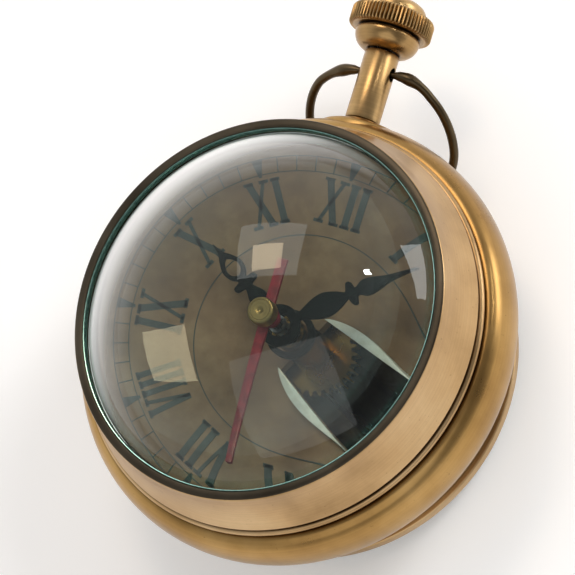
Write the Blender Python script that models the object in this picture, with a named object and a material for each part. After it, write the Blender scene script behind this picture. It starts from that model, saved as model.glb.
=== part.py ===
# Mechanical table clock with a domed magnifying lens, lying on its thick glass back.
# Metres, +Z is the way the dial faces, +Y points to the crown at 12 o'clock.

import math

import bmesh
import bpy

# Clearances and overruns
CLEARANCE = 0.0003
RUN = 0.0002
OVERRUN = 0.0010
MERGE = 0.000001

# Case
GLASS_FOOT = 0.0032
PLATE_RADIUS = 0.0223
RING_WIDTH = 0.0061
LEDGE_WIDTH = 0.0010
LEDGE_DROP = 0.0028
CASE_WALL = 0.0012
NECK_STEP = 0.0021
NECK_REACH = 0.0025
BELLY_BULGE = 0.0027
BELLY_WIDTH = 0.0098
FRONT_TAPER = 0.0027
REAR_TAPER = 0.0020
BEAD_HEIGHT = 0.0011
GROOVE_WIDTH = 0.0006
GROOVE_DEPTH = 0.0008
BAND_SWEEP = 0.0004
RIM_BEVEL = 0.0003
LIP_HEIGHT = 0.0018

# Lens, rear glass and their rings
FRONT_WALL = 0.0012
LENS_EDGE = 0.0024
DOME_STEP = 0.0006
DOME_HEIGHT = 0.0135
SHOULDER_WIDTH = 0.0015
SHOULDER_THICKNESS = 0.0008
LENS_RING_WIDTH = 0.0005
LENS_RING_HEIGHT = 0.0008
RIM_SINK = 0.0001
REAR_WALL = 0.0014
REAR_GLASS_EDGE = 0.0016
REAR_GLASS_BEVEL = 0.0008
REAR_LIP_WIDTH = 0.0009
REAR_LIP_THICKNESS = 0.0012
REAR_RING_WIDTH = 0.0016
REAR_RING_HEIGHT = 0.0010

# Pendant boss, tube, bow and crown
BOSS_LENGTH = 0.0074
BOSS_TOP_RADIUS = 0.0031
BOSS_RISE = 0.0006
TUBE_RADIUS = 0.00272
TUBE_BORE = 0.0015
TUBE_GAP = 0.0004
TUBE_LENGTH = 0.0107
STEM_HOLE = 0.0014
BOW_PIVOT_RISE = 0.0075
BOW_HALF_WIDTH = 0.0122
BOW_SHOULDER = 0.0048
BOW_DROP = 0.0102
BOW_WIRE = 0.00072
BOW_PIN = 0.00052
BOW_PIN_TIP = 0.0018
BOW_SLOT_LENGTH = 0.0023
BOW_SLOT_WIDTH = 0.0017
BOW_ANGLE = math.radians(52.2)
BELL_RADIUS = 0.0051
BELL_HEIGHT = 0.0026
HEAD_RADIUS = 0.0065
HEAD_HEIGHT = 0.0033
HEAD_RECESS = 0.0005
KNURL_DEPTH = 0.00035
KNURL_COUNT = 40
CAP_RADIUS = 0.0047
CAP_HEIGHT = 0.0024
CROWN_BORE = 0.0012
CROWN_TRAVEL = 0.0015
STEM_RADIUS = 0.0009
STEM_GRIP = 0.0045
STEM_NOSE_RADIUS = 0.00055
STEM_NOSE_LENGTH = 0.0040
SLEEVE_REACH = 0.0049

# Dial, its flange and the ring that holds the movement
RING_HEIGHT = 0.0048
RING_LIP_WIDTH = 0.0005
RING_LIP_HEIGHT = 0.0014
RING_STEM_HOLE = 0.0016
DIAL_OVERLAP = 0.0016
DIAL_THICKNESS = 0.0005
DIAL_HOLE = 0.0021
FLANGE_OVERLAP = 0.0018
FLANGE_THICKNESS = 0.0012
WINDOW_TURN = math.radians(-30.0)
WINDOW_START = 0.0027
WINDOW_BALANCE_GAP = 0.0019
WINDOW_HALF_START = 0.0021
WINDOW_PALLET_WALL = 0.00037
DIAL_WINDOW_MARGIN = 0.0008
DIAL_WINDOW_HALF_START = 0.0035
DIAL_WINDOW_HALF_END = 0.0050

# Plates and bridges
PLATE_THICKNESS = 0.0020
BRIDGE_SPACE = 0.0048
BRIDGE_THICKNESS = 0.0015
BRIDGE_INSET = 0.0006
BRIDGE_SPLIT_TURN = math.radians(50.0)
BRIDGE_SPLIT = 0.0019
PILLAR_RADIUS = 0.0007
PILLAR_INSET = 0.0013
PIVOT_RADIUS = 0.00028
PIVOT_PLAY = 0.00012
ARBOR_RADIUS = 0.00035
CENTRE_HOLE = 0.00135
STEM_SLOT_HALF = 0.0021
BALANCE_GAP = 0.0009
COCK_THICKNESS = 0.0013
COCK_GAP = 0.0020
COCK_HALF_ROOT = 0.0026
COCK_HALF_TIP = 0.0015
COCK_FOOT_GAP = 0.0005
COCK_FOOT_INSET = 0.0011
SCREW_HEAD_RADIUS = 0.0009
SCREW_HEAD_HEIGHT = 0.0005
SCREW_GAP = 0.0005
SCREW_SLOT = 0.00025
SCREW_SLOT_DEPTH = 0.0002

# Gears
WHEEL_THICKNESS = 0.0005
MOTION_THICKNESS = 0.00035
MOTION_SPACE = 0.0014
THIRD_TURN = math.radians(215.0)
CENTRE_TEETH = 48
THIRD_TEETH = 45
FOURTH_TEETH = 48
PINION_LEAVES = 6
ESCAPE_TURN = math.radians(-75.0)
ESCAPE_TEETH = 15
ESCAPE_TOOTH = 0.0009
BARREL_TEETH = 42
BARREL_HEIGHT = 0.0020
BARREL_TOOTH_BAND = 0.0007
BARREL_ARBOR_RADIUS = 0.0009
MOTION_DISTANCE = 0.0054
MOTION_TURN = math.radians(130.0)
CANNON_TEETH = 10
MINUTE_WHEEL_TEETH = 30
MINUTE_PINION_TEETH = 8
HOUR_TEETH = 32
WINDING_TEETH = 10
CROWN_WHEEL_TEETH = 20
WINDING_PITCH_RADIUS = 0.0014
WINDING_SLEEVE_RADIUS = 0.0012
CROWN_SPUR_TEETH = 20
RATCHET_TEETH = 38
RATCHET_THICKNESS = 0.0008

# Hands
SECONDS_ROD_RADIUS = 0.0004
CENTRE_TUBE_RADIUS = 0.00105
CENTRE_TUBE_BORE = 0.0007
HOUR_TUBE_RADIUS = 0.0018
HOUR_TUBE_BORE = 0.00135
HAND_THICKNESS = 0.0003
HOUR_HAND_RISE = 0.0018
MINUTE_HAND_RISE = 0.0036
SECOND_HAND_RISE = 0.0060
HOUR_HAND_LENGTH = 0.0132
MINUTE_HAND_LENGTH = 0.0178
SECOND_HAND_LENGTH = 0.0192
SECOND_HAND_TAIL = 0.0070
HOUR_HAND_WIDTH = 0.0030
MINUTE_HAND_WIDTH = 0.0028
SECOND_HAND_WIDTH = 0.0010
HAND_HUB_RADIUS = 0.0027
HAND_HUB_OPENING = math.radians(28.0)
HAND_CAP_RADIUS = 0.0017
HAND_CAP_HEIGHT = 0.0011
HAND_CAP_GAP = 0.0011
TIME_HOURS = 10.0
TIME_MINUTES = 8.8
TIME_SECONDS = 30.0

# Balance and escapement
BALANCE_TURN = math.radians(5.0)
BALANCE_RIM = 0.0006
BALANCE_THICKNESS = 0.0008
BALANCE_DROP = 0.0006
BALANCE_ARM_TURN = math.radians(20.0)
BALANCE_SCREWS = 10
BALANCE_SCREW_RADIUS = 0.00035
BALANCE_SCREW_LENGTH = 0.0004
ROLLER_RADIUS = 0.0009
STAFF_RADIUS = 0.0005
SPRING_INNER = 0.0011
SPRING_GAP = 0.0010
SPRING_TURNS = 4
SPRING_WIRE = 0.00015
SPRING_HEIGHT = 0.0004
STUD_RADIUS = 0.0004
FORK_THICKNESS = 0.0005
FORK_ARM = 0.0005
PALLET_PLAY = 0.00035
PALLET_SPREAD = math.radians(42.0)

# Click
CLICK_TURN = math.radians(20.0)
CLICK_WIDTH = 0.0010
CLICK_RADIUS = 0.0010

# Places in the movement, as shares of the plate's radius
THIRD_DISTANCE_SHARE = 0.38565
ESCAPE_DISTANCE_SHARE = 0.38117
ESCAPE_RADIUS_SHARE = 0.15247
PALLET_DISTANCE_SHARE = 0.17489
BALANCE_DISTANCE_SHARE = 0.30717
BALANCE_RADIUS_SHARE = 0.21525
BARREL_X_SHARE = 0.38565
BARREL_Y_SHARE = 0.26906
CROWN_WHEEL_SHARE = 0.55157
CLICK_DISTANCE_SHARE = 0.43946
CLICK_REACH_SHARE = 0.18834

# Radii, from the plate out to the belly and back in to the glasses
RING_BORE = PLATE_RADIUS + CLEARANCE
RING_LIP_BORE = RING_BORE - RING_LIP_WIDTH
RING_RADIUS = RING_BORE + RING_WIDTH
CASE_BORE = RING_RADIUS + CLEARANCE
LEDGE_BORE = CASE_BORE - LEDGE_WIDTH
NECK_RADIUS = CASE_BORE + CASE_WALL
BAND_RADIUS = NECK_RADIUS + NECK_STEP
BELLY_RADIUS = BAND_RADIUS + BELLY_BULGE
FRONT_RIM_RADIUS = BAND_RADIUS - FRONT_TAPER
REAR_RIM_RADIUS = BAND_RADIUS - REAR_TAPER
LENS_RADIUS = FRONT_RIM_RADIUS - FRONT_WALL - CLEARANCE
DOME_RADIUS = LENS_RADIUS - DOME_STEP
SHOULDER_RADIUS = LENS_RADIUS - SHOULDER_WIDTH
LENS_RING_RADIUS = LENS_RADIUS - LENS_RING_WIDTH
REAR_GLASS_RADIUS = REAR_RIM_RADIUS - REAR_WALL - CLEARANCE
REAR_LIP_BORE = REAR_GLASS_RADIUS - REAR_LIP_WIDTH
REAR_RING_BORE = REAR_GLASS_RADIUS - REAR_RING_WIDTH
DIAL_RADIUS = RING_BORE + DIAL_OVERLAP
FLANGE_FOOT_RADIUS = DIAL_RADIUS - FLANGE_OVERLAP
BRIDGE_RADIUS = PLATE_RADIUS - BRIDGE_INSET
PILLAR_CIRCLE = PLATE_RADIUS - PILLAR_INSET

# Levels, from the table up
REAR_PLANE = GLASS_FOOT
REAR_LIP_TOP = REAR_PLANE + REAR_LIP_THICKNESS + CLEARANCE
REAR_GLASS_TOP = REAR_LIP_TOP + REAR_GLASS_EDGE
COCK_BOTTOM = REAR_GLASS_TOP + SCREW_GAP + SCREW_HEAD_HEIGHT + CLEARANCE
COCK_TOP = COCK_BOTTOM + COCK_THICKNESS
BALANCE_TOP = COCK_TOP + COCK_GAP
BALANCE_BOTTOM = BALANCE_TOP - BALANCE_THICKNESS
BRIDGE_BOTTOM = BALANCE_TOP + BALANCE_DROP
BRIDGE_TOP = BRIDGE_BOTTOM + BRIDGE_THICKNESS
PLATE_BOTTOM = BRIDGE_TOP + BRIDGE_SPACE
PLATE_TOP = PLATE_BOTTOM + PLATE_THICKNESS
RING_BOTTOM = PLATE_BOTTOM - CLEARANCE - RING_LIP_HEIGHT
RING_TOP = RING_BOTTOM + RING_HEIGHT
LEDGE_PLANE = RING_BOTTOM - CLEARANCE
MID_PLANE = LEDGE_PLANE + LEDGE_DROP
BAND_BOTTOM = MID_PLANE - BELLY_WIDTH / 2
BAND_TOP = MID_PLANE + BELLY_WIDTH / 2
DIAL_BOTTOM = PLATE_TOP + MOTION_SPACE
DIAL_TOP = DIAL_BOTTOM + DIAL_THICKNESS
HOUR_BOTTOM = DIAL_TOP + HOUR_HAND_RISE
HOUR_TOP = HOUR_BOTTOM + HAND_THICKNESS
MINUTE_BOTTOM = DIAL_TOP + MINUTE_HAND_RISE
MINUTE_TOP = MINUTE_BOTTOM + HAND_THICKNESS
SECOND_BOTTOM = DIAL_TOP + SECOND_HAND_RISE
SECOND_TOP = SECOND_BOTTOM + HAND_THICKNESS
HAND_CAP_TOP = SECOND_TOP + RUN + HAND_CAP_HEIGHT
SHOULDER_TOP = HAND_CAP_TOP + HAND_CAP_GAP - CLEARANCE
FRONT_PLANE = SHOULDER_TOP + RIM_SINK + LENS_RING_HEIGHT + LENS_EDGE + 2 * CLEARANCE
BOSS_TOP = BELLY_RADIUS + BOSS_RISE
TUBE_BOTTOM = BOSS_TOP + TUBE_GAP
TUBE_TOP = TUBE_BOTTOM + TUBE_LENGTH
BOW_PIVOT_Y = TUBE_BOTTOM + BOW_PIVOT_RISE
BELL_BOTTOM = TUBE_TOP + CLEARANCE
HEAD_BOTTOM = BELL_BOTTOM + BELL_HEIGHT + HEAD_RECESS
HEAD_TOP = HEAD_BOTTOM + HEAD_HEIGHT
CROWN_TOP = HEAD_TOP + CAP_HEIGHT
AXIS_Y = (BELLY_RADIUS - CROWN_TOP) / 2

# Where the arbors stand, from the clock's axis
CENTRE_DISTANCE_THIRD = PLATE_RADIUS * THIRD_DISTANCE_SHARE
CENTRE_DISTANCE_ESCAPE = PLATE_RADIUS * ESCAPE_DISTANCE_SHARE
PALLET_DISTANCE = PLATE_RADIUS * PALLET_DISTANCE_SHARE
BALANCE_DISTANCE = PLATE_RADIUS * BALANCE_DISTANCE_SHARE
BARREL_X = PLATE_RADIUS * BARREL_X_SHARE
BARREL_Y = PLATE_RADIUS * BARREL_Y_SHARE
CROWN_WHEEL_Y = PLATE_RADIUS * CROWN_WHEEL_SHARE
CLICK_DISTANCE = PLATE_RADIUS * CLICK_DISTANCE_SHARE
BARREL_DISTANCE = math.hypot(BARREL_X, BARREL_Y)
THIRD_X = CENTRE_DISTANCE_THIRD * math.cos(THIRD_TURN)
THIRD_Y = CENTRE_DISTANCE_THIRD * math.sin(THIRD_TURN)
ESCAPE_X = CENTRE_DISTANCE_ESCAPE * math.cos(ESCAPE_TURN)
ESCAPE_Y = CENTRE_DISTANCE_ESCAPE * math.sin(ESCAPE_TURN)
PALLET_X = ESCAPE_X + PALLET_DISTANCE * math.cos(BALANCE_TURN)
PALLET_Y = ESCAPE_Y + PALLET_DISTANCE * math.sin(BALANCE_TURN)
BALANCE_X = ESCAPE_X + BALANCE_DISTANCE * math.cos(BALANCE_TURN)
BALANCE_Y = ESCAPE_Y + BALANCE_DISTANCE * math.sin(BALANCE_TURN)
MOTION_X = MOTION_DISTANCE * math.cos(MOTION_TURN)
MOTION_Y = MOTION_DISTANCE * math.sin(MOTION_TURN)

# Sizes that follow those places
ESCAPE_RADIUS = PLATE_RADIUS * ESCAPE_RADIUS_SHARE
PALLET_REACH = ESCAPE_RADIUS + PALLET_PLAY
CLICK_REACH = PLATE_RADIUS * CLICK_REACH_SHARE
BALANCE_RADIUS = PLATE_RADIUS * BALANCE_RADIUS_SHARE
BALANCE_CUT = BALANCE_RADIUS + BALANCE_GAP
SPRING_OUTER = BALANCE_RADIUS - BALANCE_RIM - SPRING_GAP
BALANCE_CENTRE = math.hypot(BALANCE_X, BALANCE_Y)
PALLET_OFFSET = PALLET_Y * math.cos(WINDOW_TURN) - PALLET_X * math.sin(WINDOW_TURN)
WINDOW_HALF_END = abs(PALLET_OFFSET) - PIVOT_RADIUS - PIVOT_PLAY - WINDOW_PALLET_WALL
WINDOW_END = BALANCE_CENTRE - WINDOW_BALANCE_GAP
COCK_FOOT_START = BALANCE_CENTRE + BALANCE_RADIUS + BALANCE_SCREW_LENGTH + COCK_FOOT_GAP
COCK_FOOT_END = PLATE_RADIUS - COCK_FOOT_INSET
STEM_NOSE_START = CROWN_WHEEL_Y + SLEEVE_REACH
STEM_SLOT_END = STEM_NOSE_START - STEM_NOSE_LENGTH - 2 * CLEARANCE

# Numbers of flat faces round a circle
CASE_STEPS = 48
ROUND_STEPS = 40

# Shares
BOSS_WIDTH_SHARE = 0.93
WHEEL_RIM_SHARE = 0.84
FOURTH_THICKNESS_SHARE = 0.8
THIRD_GAP_SHARE = 1.4
SPOKE_SHARE = 1.6
THIN_SPOKE_SHARE = 1.4
ESCAPE_HUB_SHARE = 2.4
ESCAPE_RIM_SHARE = 1.7
BALANCE_HUB_SHARE = 2.2
BALANCE_ARM_SHARE = 1.3
FACE_TIP_SHARE = 0.6
FACE_ROOT_SHARE = 1.4
WINDING_LENGTH_SHARE = 2.8
CLICK_EYE_SHARE = 1.6
CLICK_HEAD_SHARE = 0.8
CLICK_SHOULDER_SHARE = 0.7
CLICK_TIP_SHARE = 0.3
MOTION_GAP_SHARE = 0.75
MINUTE_HUB_SHARE = 0.9
SECOND_HUB_SHARE = 0.8
SECOND_TAIL_SHARE = 1.2
SECOND_TIP_SHARE = 0.5
DIMPLE_SHARE = 0.22
CAP_BORE_SHARE = 0.35
PALLET_SHOULDER_SHARE = 0.75
PALLET_WAIST_SHARE = 0.6
KNURL_EDGE_SHARE = 0.16
KNURL_TIP_SHARES = (0.3, 0.7)
CAP_DOME_SHARES = ((1.00, 0.30), (0.92, 0.55), (0.70, 0.83), (0.38, 0.97))
TOOTH_TIP_SHARE = 0.20
TOOTH_ROOT_SHARE = 0.56
ADDENDUM_SHARE = 0.75
DEDENDUM_SHARE = 1.15


def clear_scene():
    for thing in list(bpy.data.objects):
        bpy.data.objects.remove(thing, do_unlink=True)


def make_material(name, colour, roughness, metallic, transmission=0.0):
    material = bpy.data.materials.new(name)
    material.use_nodes = True
    shader = material.node_tree.nodes["Principled BSDF"]
    shader.inputs["Base Color"].default_value = (*colour, 1.0)
    shader.inputs["Roughness"].default_value = roughness
    shader.inputs["Metallic"].default_value = metallic
    shader.inputs["Transmission Weight"].default_value = transmission
    return material


def place(name, made, material, x=0.0, y=0.0, z=0.0, turn=(0.0, 0.0, 0.0)):
    """Puts a finished mesh in the scene, under the clock's own axis."""
    bmesh.ops.recalc_face_normals(made, faces=made.faces)
    mesh = bpy.data.meshes.new(name)
    made.to_mesh(mesh)
    made.free()
    mesh.materials.append(material)
    mesh.shade_smooth()
    mesh.set_sharp_from_angle(angle=math.radians(35.0))
    piece = bpy.data.objects.new(name, mesh)
    bpy.context.scene.collection.objects.link(piece)
    piece.parent = clock
    piece.location = (x, y, z)
    piece.rotation_euler = turn
    return piece


def combine(piece, helper, operation):
    """Joins a helper to a piece, or cuts it out, and hides the helper."""
    helper.hide_render = True
    helper.display_type = "WIRE"
    step = piece.modifiers.new(helper.name, "BOOLEAN")
    step.operation = operation
    step.solver = "EXACT"
    step.object = helper
    return piece


def join(piece, *helpers):
    for helper in helpers:
        combine(piece, helper, "UNION")
    return piece


def cut(piece, *helpers):
    for helper in helpers:
        combine(piece, helper, "DIFFERENCE")
    return piece


def circle(radius, steps, x=0.0, y=0.0, turn=0.0):
    points = []
    for step in range(steps):
        angle = turn + math.tau * step / steps
        points.append((x + radius * math.cos(angle), y + radius * math.sin(angle)))
    return points


def arc(radius, start, end, steps):
    points = []
    for step in range(steps + 1):
        angle = start + (end - start) * step / steps
        points.append((radius * math.cos(angle), radius * math.sin(angle)))
    return points


def turned(profile, steps, is_ring):
    """Spins a profile of (radius, height) points about Z. A ring's profile is a closed loop."""
    made = bmesh.new()
    points = [made.verts.new((radius, 0.0, height)) for radius, height in profile]
    followers = points[1:] + points[:1] if is_ring else points[1:]
    edges = [made.edges.new(pair) for pair in zip(points, followers)]
    bmesh.ops.spin(
        made,
        geom=points + edges,
        cent=(0.0, 0.0, 0.0),
        axis=(0.0, 0.0, 1.0),
        angle=math.tau,
        steps=steps,
        use_merge=True,
    )
    bmesh.ops.remove_doubles(made, verts=made.verts, dist=MERGE)
    return made


def prism(outline, holes, bottom, top):
    """Fills an outline, less its holes, and gives it two flat faces and upright walls."""
    made = bmesh.new()
    walls = []
    for loop in [outline, *holes]:
        points = [made.verts.new((x, y, bottom)) for x, y in loop]
        walls += [made.edges.new(pair) for pair in zip(points, points[1:] + points[:1])]
    bmesh.ops.triangle_fill(made, use_beauty=True, use_dissolve=False, edges=walls)
    lower = made.verts[:] + made.edges[:] + made.faces[:]
    twins = bmesh.ops.duplicate(made, geom=lower)["vert_map"]
    raised = [twins[point] for point in lower if isinstance(point, bmesh.types.BMVert)]
    bmesh.ops.translate(made, verts=raised, vec=(0.0, 0.0, top - bottom))
    for wall in walls:
        first, second = wall.verts
        made.faces.new((first, second, twins[second], twins[first]))
    return made


def cylinder(radius, bottom, top, steps):
    return turned([(0.0, bottom), (radius, bottom), (radius, top), (0.0, top)], steps, False)


def tube(bore, radius, bottom, top, steps):
    return turned([(bore, bottom), (radius, bottom), (radius, top), (bore, top)], steps, True)


def gear_outline(teeth, pitch_radius, phase):
    """Straight-flanked teeth. The phase is the angle of the first tooth's middle."""
    module = 2 * pitch_radius / teeth
    tip = pitch_radius + ADDENDUM_SHARE * module
    root = pitch_radius - DEDENDUM_SHARE * module
    pitch = math.tau / teeth
    points = []
    for tooth in range(teeth):
        middle = phase + tooth * pitch
        flanks = (
            (root, -TOOTH_ROOT_SHARE),
            (tip, -TOOTH_TIP_SHARE),
            (tip, TOOTH_TIP_SHARE),
            (root, TOOTH_ROOT_SHARE),
        )
        for radius, share in flanks:
            angle = middle + share * pitch / 2
            points.append((radius * math.cos(angle), radius * math.sin(angle)))
    return points


def meshing_phase(teeth, phase, other_teeth, direction):
    """The phase of a gear that lies in a direction and meshes with one of known phase."""
    pitch = math.tau / teeth
    offset = (phase - direction) % pitch
    gap = direction + math.pi - offset * teeth / other_teeth
    return gap + math.pi / other_teeth


def spoke_windows(hub_radius, rim_radius, spokes, spoke_width, steps, turn=0.0):
    """The openings between a wheel's spokes."""
    windows = []
    for spoke in range(spokes):
        start = turn + math.tau * spoke / spokes
        end = start + math.tau / spokes
        outer = math.asin(spoke_width / 2 / rim_radius)
        inner = math.asin(spoke_width / 2 / hub_radius)
        loop = arc(rim_radius, start + outer, end - outer, steps)
        loop += arc(hub_radius, end - inner, start + inner, 2)
        windows.append(loop)
    return windows


def rotated(points, turn):
    return [
        (x * math.cos(turn) - y * math.sin(turn), x * math.sin(turn) + y * math.cos(turn))
        for x, y in points
    ]


def moved(points, x, y):
    return [(px + x, py + y) for px, py in points]


def smooth_profile(start, end, sag, steps):
    """Points of a shallow curve between two (radius, height) points, pulled in by a sag."""
    points = []
    for step in range(steps + 1):
        share = step / steps
        radius = start[0] + (end[0] - start[0]) * share
        height = start[1] + (end[1] - start[1]) * share
        points.append((radius - sag * math.sin(math.pi * share), height))
    return points


def build_case_band():
    belly = []
    bulge = BELLY_RADIUS - BAND_RADIUS
    steps = 8
    for step in range(steps + 1):
        angle = math.pi * step / steps
        height = MID_PLANE - BELLY_WIDTH / 2 * math.cos(angle)
        belly.append((BAND_RADIUS + bulge * math.sin(angle), height))
    profile = [
        (LEDGE_BORE, BAND_BOTTOM - NECK_REACH),
        (NECK_RADIUS, BAND_BOTTOM - NECK_REACH),
        (NECK_RADIUS, BAND_BOTTOM),
        *belly,
        (NECK_RADIUS, BAND_TOP),
        (NECK_RADIUS, BAND_TOP + NECK_REACH),
        (CASE_BORE, BAND_TOP + NECK_REACH),
        (CASE_BORE, LEDGE_PLANE),
        (LEDGE_BORE, LEDGE_PLANE),
    ]
    band = place("case_band", turned(profile, CASE_STEPS, True), brass)
    boss = place("boss", boss_mesh(), brass, z=MID_PLANE, turn=along_y)
    drill = cylinder(STEM_HOLE, LEDGE_BORE - OVERRUN, BOSS_TOP + OVERRUN, 20)
    hole = place("boss_hole", drill, brass, z=MID_PLANE, turn=along_y)
    join(band, boss)
    cut(band, hole)


def boss_mesh():
    """An oval pad along the belly that flares up to a round seat under the tube."""
    half_width = BELLY_WIDTH / 2 * BOSS_WIDTH_SHARE
    rise = BOSS_TOP - BAND_RADIUS
    levels = (
        (1.00, 0.00),
        (0.98, 0.66),
        (0.86, 0.80),
        (0.62, 0.87),
        (0.34, 0.93),
        (0.08, 0.97),
        (0.00, 1.00),
    )
    steps = 32
    made = bmesh.new()
    rings = []
    for spread_share, rise_share in levels:
        length = BOSS_TOP_RADIUS + (BOSS_LENGTH - BOSS_TOP_RADIUS) * spread_share
        width = BOSS_TOP_RADIUS + (half_width - BOSS_TOP_RADIUS) * spread_share
        height = BAND_RADIUS - CLEARANCE + (rise + CLEARANCE) * rise_share
        ring = []
        for step in range(steps):
            angle = math.tau * step / steps
            point = (length * math.cos(angle), width * math.sin(angle), height)
            ring.append(made.verts.new(point))
        rings.append(ring)
    for lower, upper in zip(rings, rings[1:]):
        for step in range(steps):
            after = (step + 1) % steps
            made.faces.new((lower[step], lower[after], upper[after], upper[step]))
    made.faces.new(rings[0])
    made.faces.new(rings[-1])
    return made


def bezel_outline(rim_radius, rim_height, joint_height, has_lip):
    """Outer points of a bezel, from its joint with the band to its rim."""
    way = 1.0 if rim_height > joint_height else -1.0
    bead = []
    steps = 3
    for step in range(steps + 1):
        angle = math.pi * step / steps
        height = joint_height + way * BEAD_HEIGHT / 2 * (1 - math.cos(angle))
        bead.append((BAND_RADIUS - BEAD_HEIGHT / 2 + BEAD_HEIGHT / 2 * math.sin(angle), height))
    groove_radius = BAND_RADIUS - BEAD_HEIGHT / 2 - GROOVE_DEPTH / 2
    band_start = joint_height + way * (BEAD_HEIGHT + GROOVE_WIDTH)
    points = [
        *bead,
        (groove_radius, joint_height + way * BEAD_HEIGHT),
        (groove_radius, band_start),
    ]
    band_end = rim_height - way * RIM_BEVEL
    band_end_radius = rim_radius
    if has_lip:
        band_end = rim_height - way * (LIP_HEIGHT + GROOVE_WIDTH)
        band_end_radius = rim_radius - GROOVE_DEPTH
    start = (BAND_RADIUS - BEAD_HEIGHT / 2, band_start)
    points += smooth_profile(start, (band_end_radius, band_end), BAND_SWEEP, 3)
    if has_lip:
        points += [
            (rim_radius - GROOVE_DEPTH, rim_height - way * LIP_HEIGHT),
            (rim_radius, rim_height - way * LIP_HEIGHT),
            (rim_radius, rim_height - way * RIM_BEVEL),
        ]
    points.append((rim_radius - RIM_BEVEL, rim_height))
    return points


def build_front_bezel():
    skirt = NECK_RADIUS + CLEARANCE
    neck_end = BAND_TOP + NECK_REACH + CLEARANCE
    recess = LENS_RADIUS + CLEARANCE
    profile = bezel_outline(FRONT_RIM_RADIUS, FRONT_PLANE, BAND_TOP + CLEARANCE, False)
    profile += [
        (recess, FRONT_PLANE),
        (recess, SHOULDER_TOP),
        (SHOULDER_RADIUS, SHOULDER_TOP),
        (SHOULDER_RADIUS, SHOULDER_TOP - SHOULDER_THICKNESS),
        (recess, SHOULDER_TOP - SHOULDER_THICKNESS),
        (CASE_BORE, neck_end),
        (skirt, neck_end),
        (skirt, BAND_TOP + CLEARANCE),
    ]
    place("front_bezel", turned(profile, CASE_STEPS, True), brass)


def build_rear_bezel():
    skirt = NECK_RADIUS + CLEARANCE
    neck_end = BAND_BOTTOM - NECK_REACH - CLEARANCE
    recess = REAR_GLASS_RADIUS + CLEARANCE
    lip_top = REAR_PLANE + REAR_LIP_THICKNESS
    profile = bezel_outline(REAR_RIM_RADIUS, REAR_PLANE, BAND_BOTTOM - CLEARANCE, True)
    profile += [
        (REAR_LIP_BORE, REAR_PLANE),
        (REAR_LIP_BORE, lip_top),
        (recess, lip_top),
        (recess, neck_end),
        (skirt, neck_end),
        (skirt, BAND_BOTTOM - CLEARANCE),
    ]
    place("rear_bezel", turned(profile, CASE_STEPS, True), brass)


def build_lens():
    base = SHOULDER_TOP + CLEARANCE
    edge = base + LENS_EDGE
    curve = (DOME_RADIUS**2 + DOME_HEIGHT**2) / (2 * DOME_HEIGHT)
    steps = 8
    spread = math.asin(DOME_RADIUS / curve)
    dome = []
    for step in range(1, steps):
        angle = spread * (1 - step / steps)
        dome.append((curve * math.sin(angle), edge + curve * math.cos(angle) - curve + DOME_HEIGHT))
    profile = [
        (0.0, base),
        (LENS_RADIUS, base),
        (LENS_RADIUS, edge),
        (DOME_RADIUS, edge),
        *dome,
        (0.0, edge + DOME_HEIGHT),
    ]
    place("front_lens", turned(profile, ROUND_STEPS, False), lens_glass)
    bottom = edge + CLEARANCE
    bore = LENS_RING_RADIUS + RUN / 2
    ring = tube(bore, LENS_RADIUS, bottom, bottom + LENS_RING_HEIGHT, ROUND_STEPS)
    place("lens_retaining_ring", ring, dark_brass)


def build_rear_glass():
    foot = REAR_LIP_BORE - CLEARANCE
    profile = [
        (0.0, 0.0),
        (foot - REAR_GLASS_BEVEL, 0.0),
        (foot, REAR_GLASS_BEVEL),
        (foot, REAR_LIP_TOP),
        (REAR_GLASS_RADIUS, REAR_LIP_TOP),
        (REAR_GLASS_RADIUS, REAR_GLASS_TOP),
        (0.0, REAR_GLASS_TOP),
    ]
    place("rear_glass", turned(profile, ROUND_STEPS, False), lens_glass)
    bottom = REAR_GLASS_TOP + CLEARANCE
    ring = tube(REAR_RING_BORE, REAR_GLASS_RADIUS, bottom, bottom + REAR_RING_HEIGHT, ROUND_STEPS)
    place("rear_glass_ring", ring, dark_brass)


def build_movement_ring():
    profile = [
        (RING_LIP_BORE, RING_BOTTOM),
        (RING_RADIUS - CLEARANCE, RING_BOTTOM),
        (RING_RADIUS, RING_BOTTOM + CLEARANCE),
        (RING_RADIUS, RING_TOP),
        (RING_BORE, RING_TOP),
        (RING_BORE, RING_BOTTOM + RING_LIP_HEIGHT),
        (RING_LIP_BORE, RING_BOTTOM + RING_LIP_HEIGHT),
    ]
    ring = place("movement_ring", turned(profile, ROUND_STEPS, True), brass)
    drill = cylinder(RING_STEM_HOLE, RING_LIP_BORE - OVERRUN, RING_RADIUS + OVERRUN, 16)
    cut(ring, place("ring_hole", drill, brass, z=MID_PLANE, turn=along_y))


def window_outline():
    """The opening in the main plate through which the balance shows."""
    outer = math.asin(WINDOW_HALF_END / WINDOW_END)
    inner = math.asin(WINDOW_HALF_START / WINDOW_START)
    loop = arc(WINDOW_END, -outer, outer, 6) + arc(WINDOW_START, inner, -inner, 6)
    return rotated(loop, WINDOW_TURN)


def dial_window_outline():
    """The wider fan in the dial, which runs into the hole round the hands' arbors."""
    end = WINDOW_END + DIAL_WINDOW_MARGIN
    outer = math.asin(DIAL_WINDOW_HALF_END / end)
    loop = arc(end, -outer, outer, 8)
    loop.append((0.0, DIAL_WINDOW_HALF_START))
    loop += arc(DIAL_HOLE, math.pi / 2, math.tau - math.pi / 2, 12)
    loop.append((0.0, -DIAL_WINDOW_HALF_START))
    return rotated(loop, WINDOW_TURN)


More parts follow.
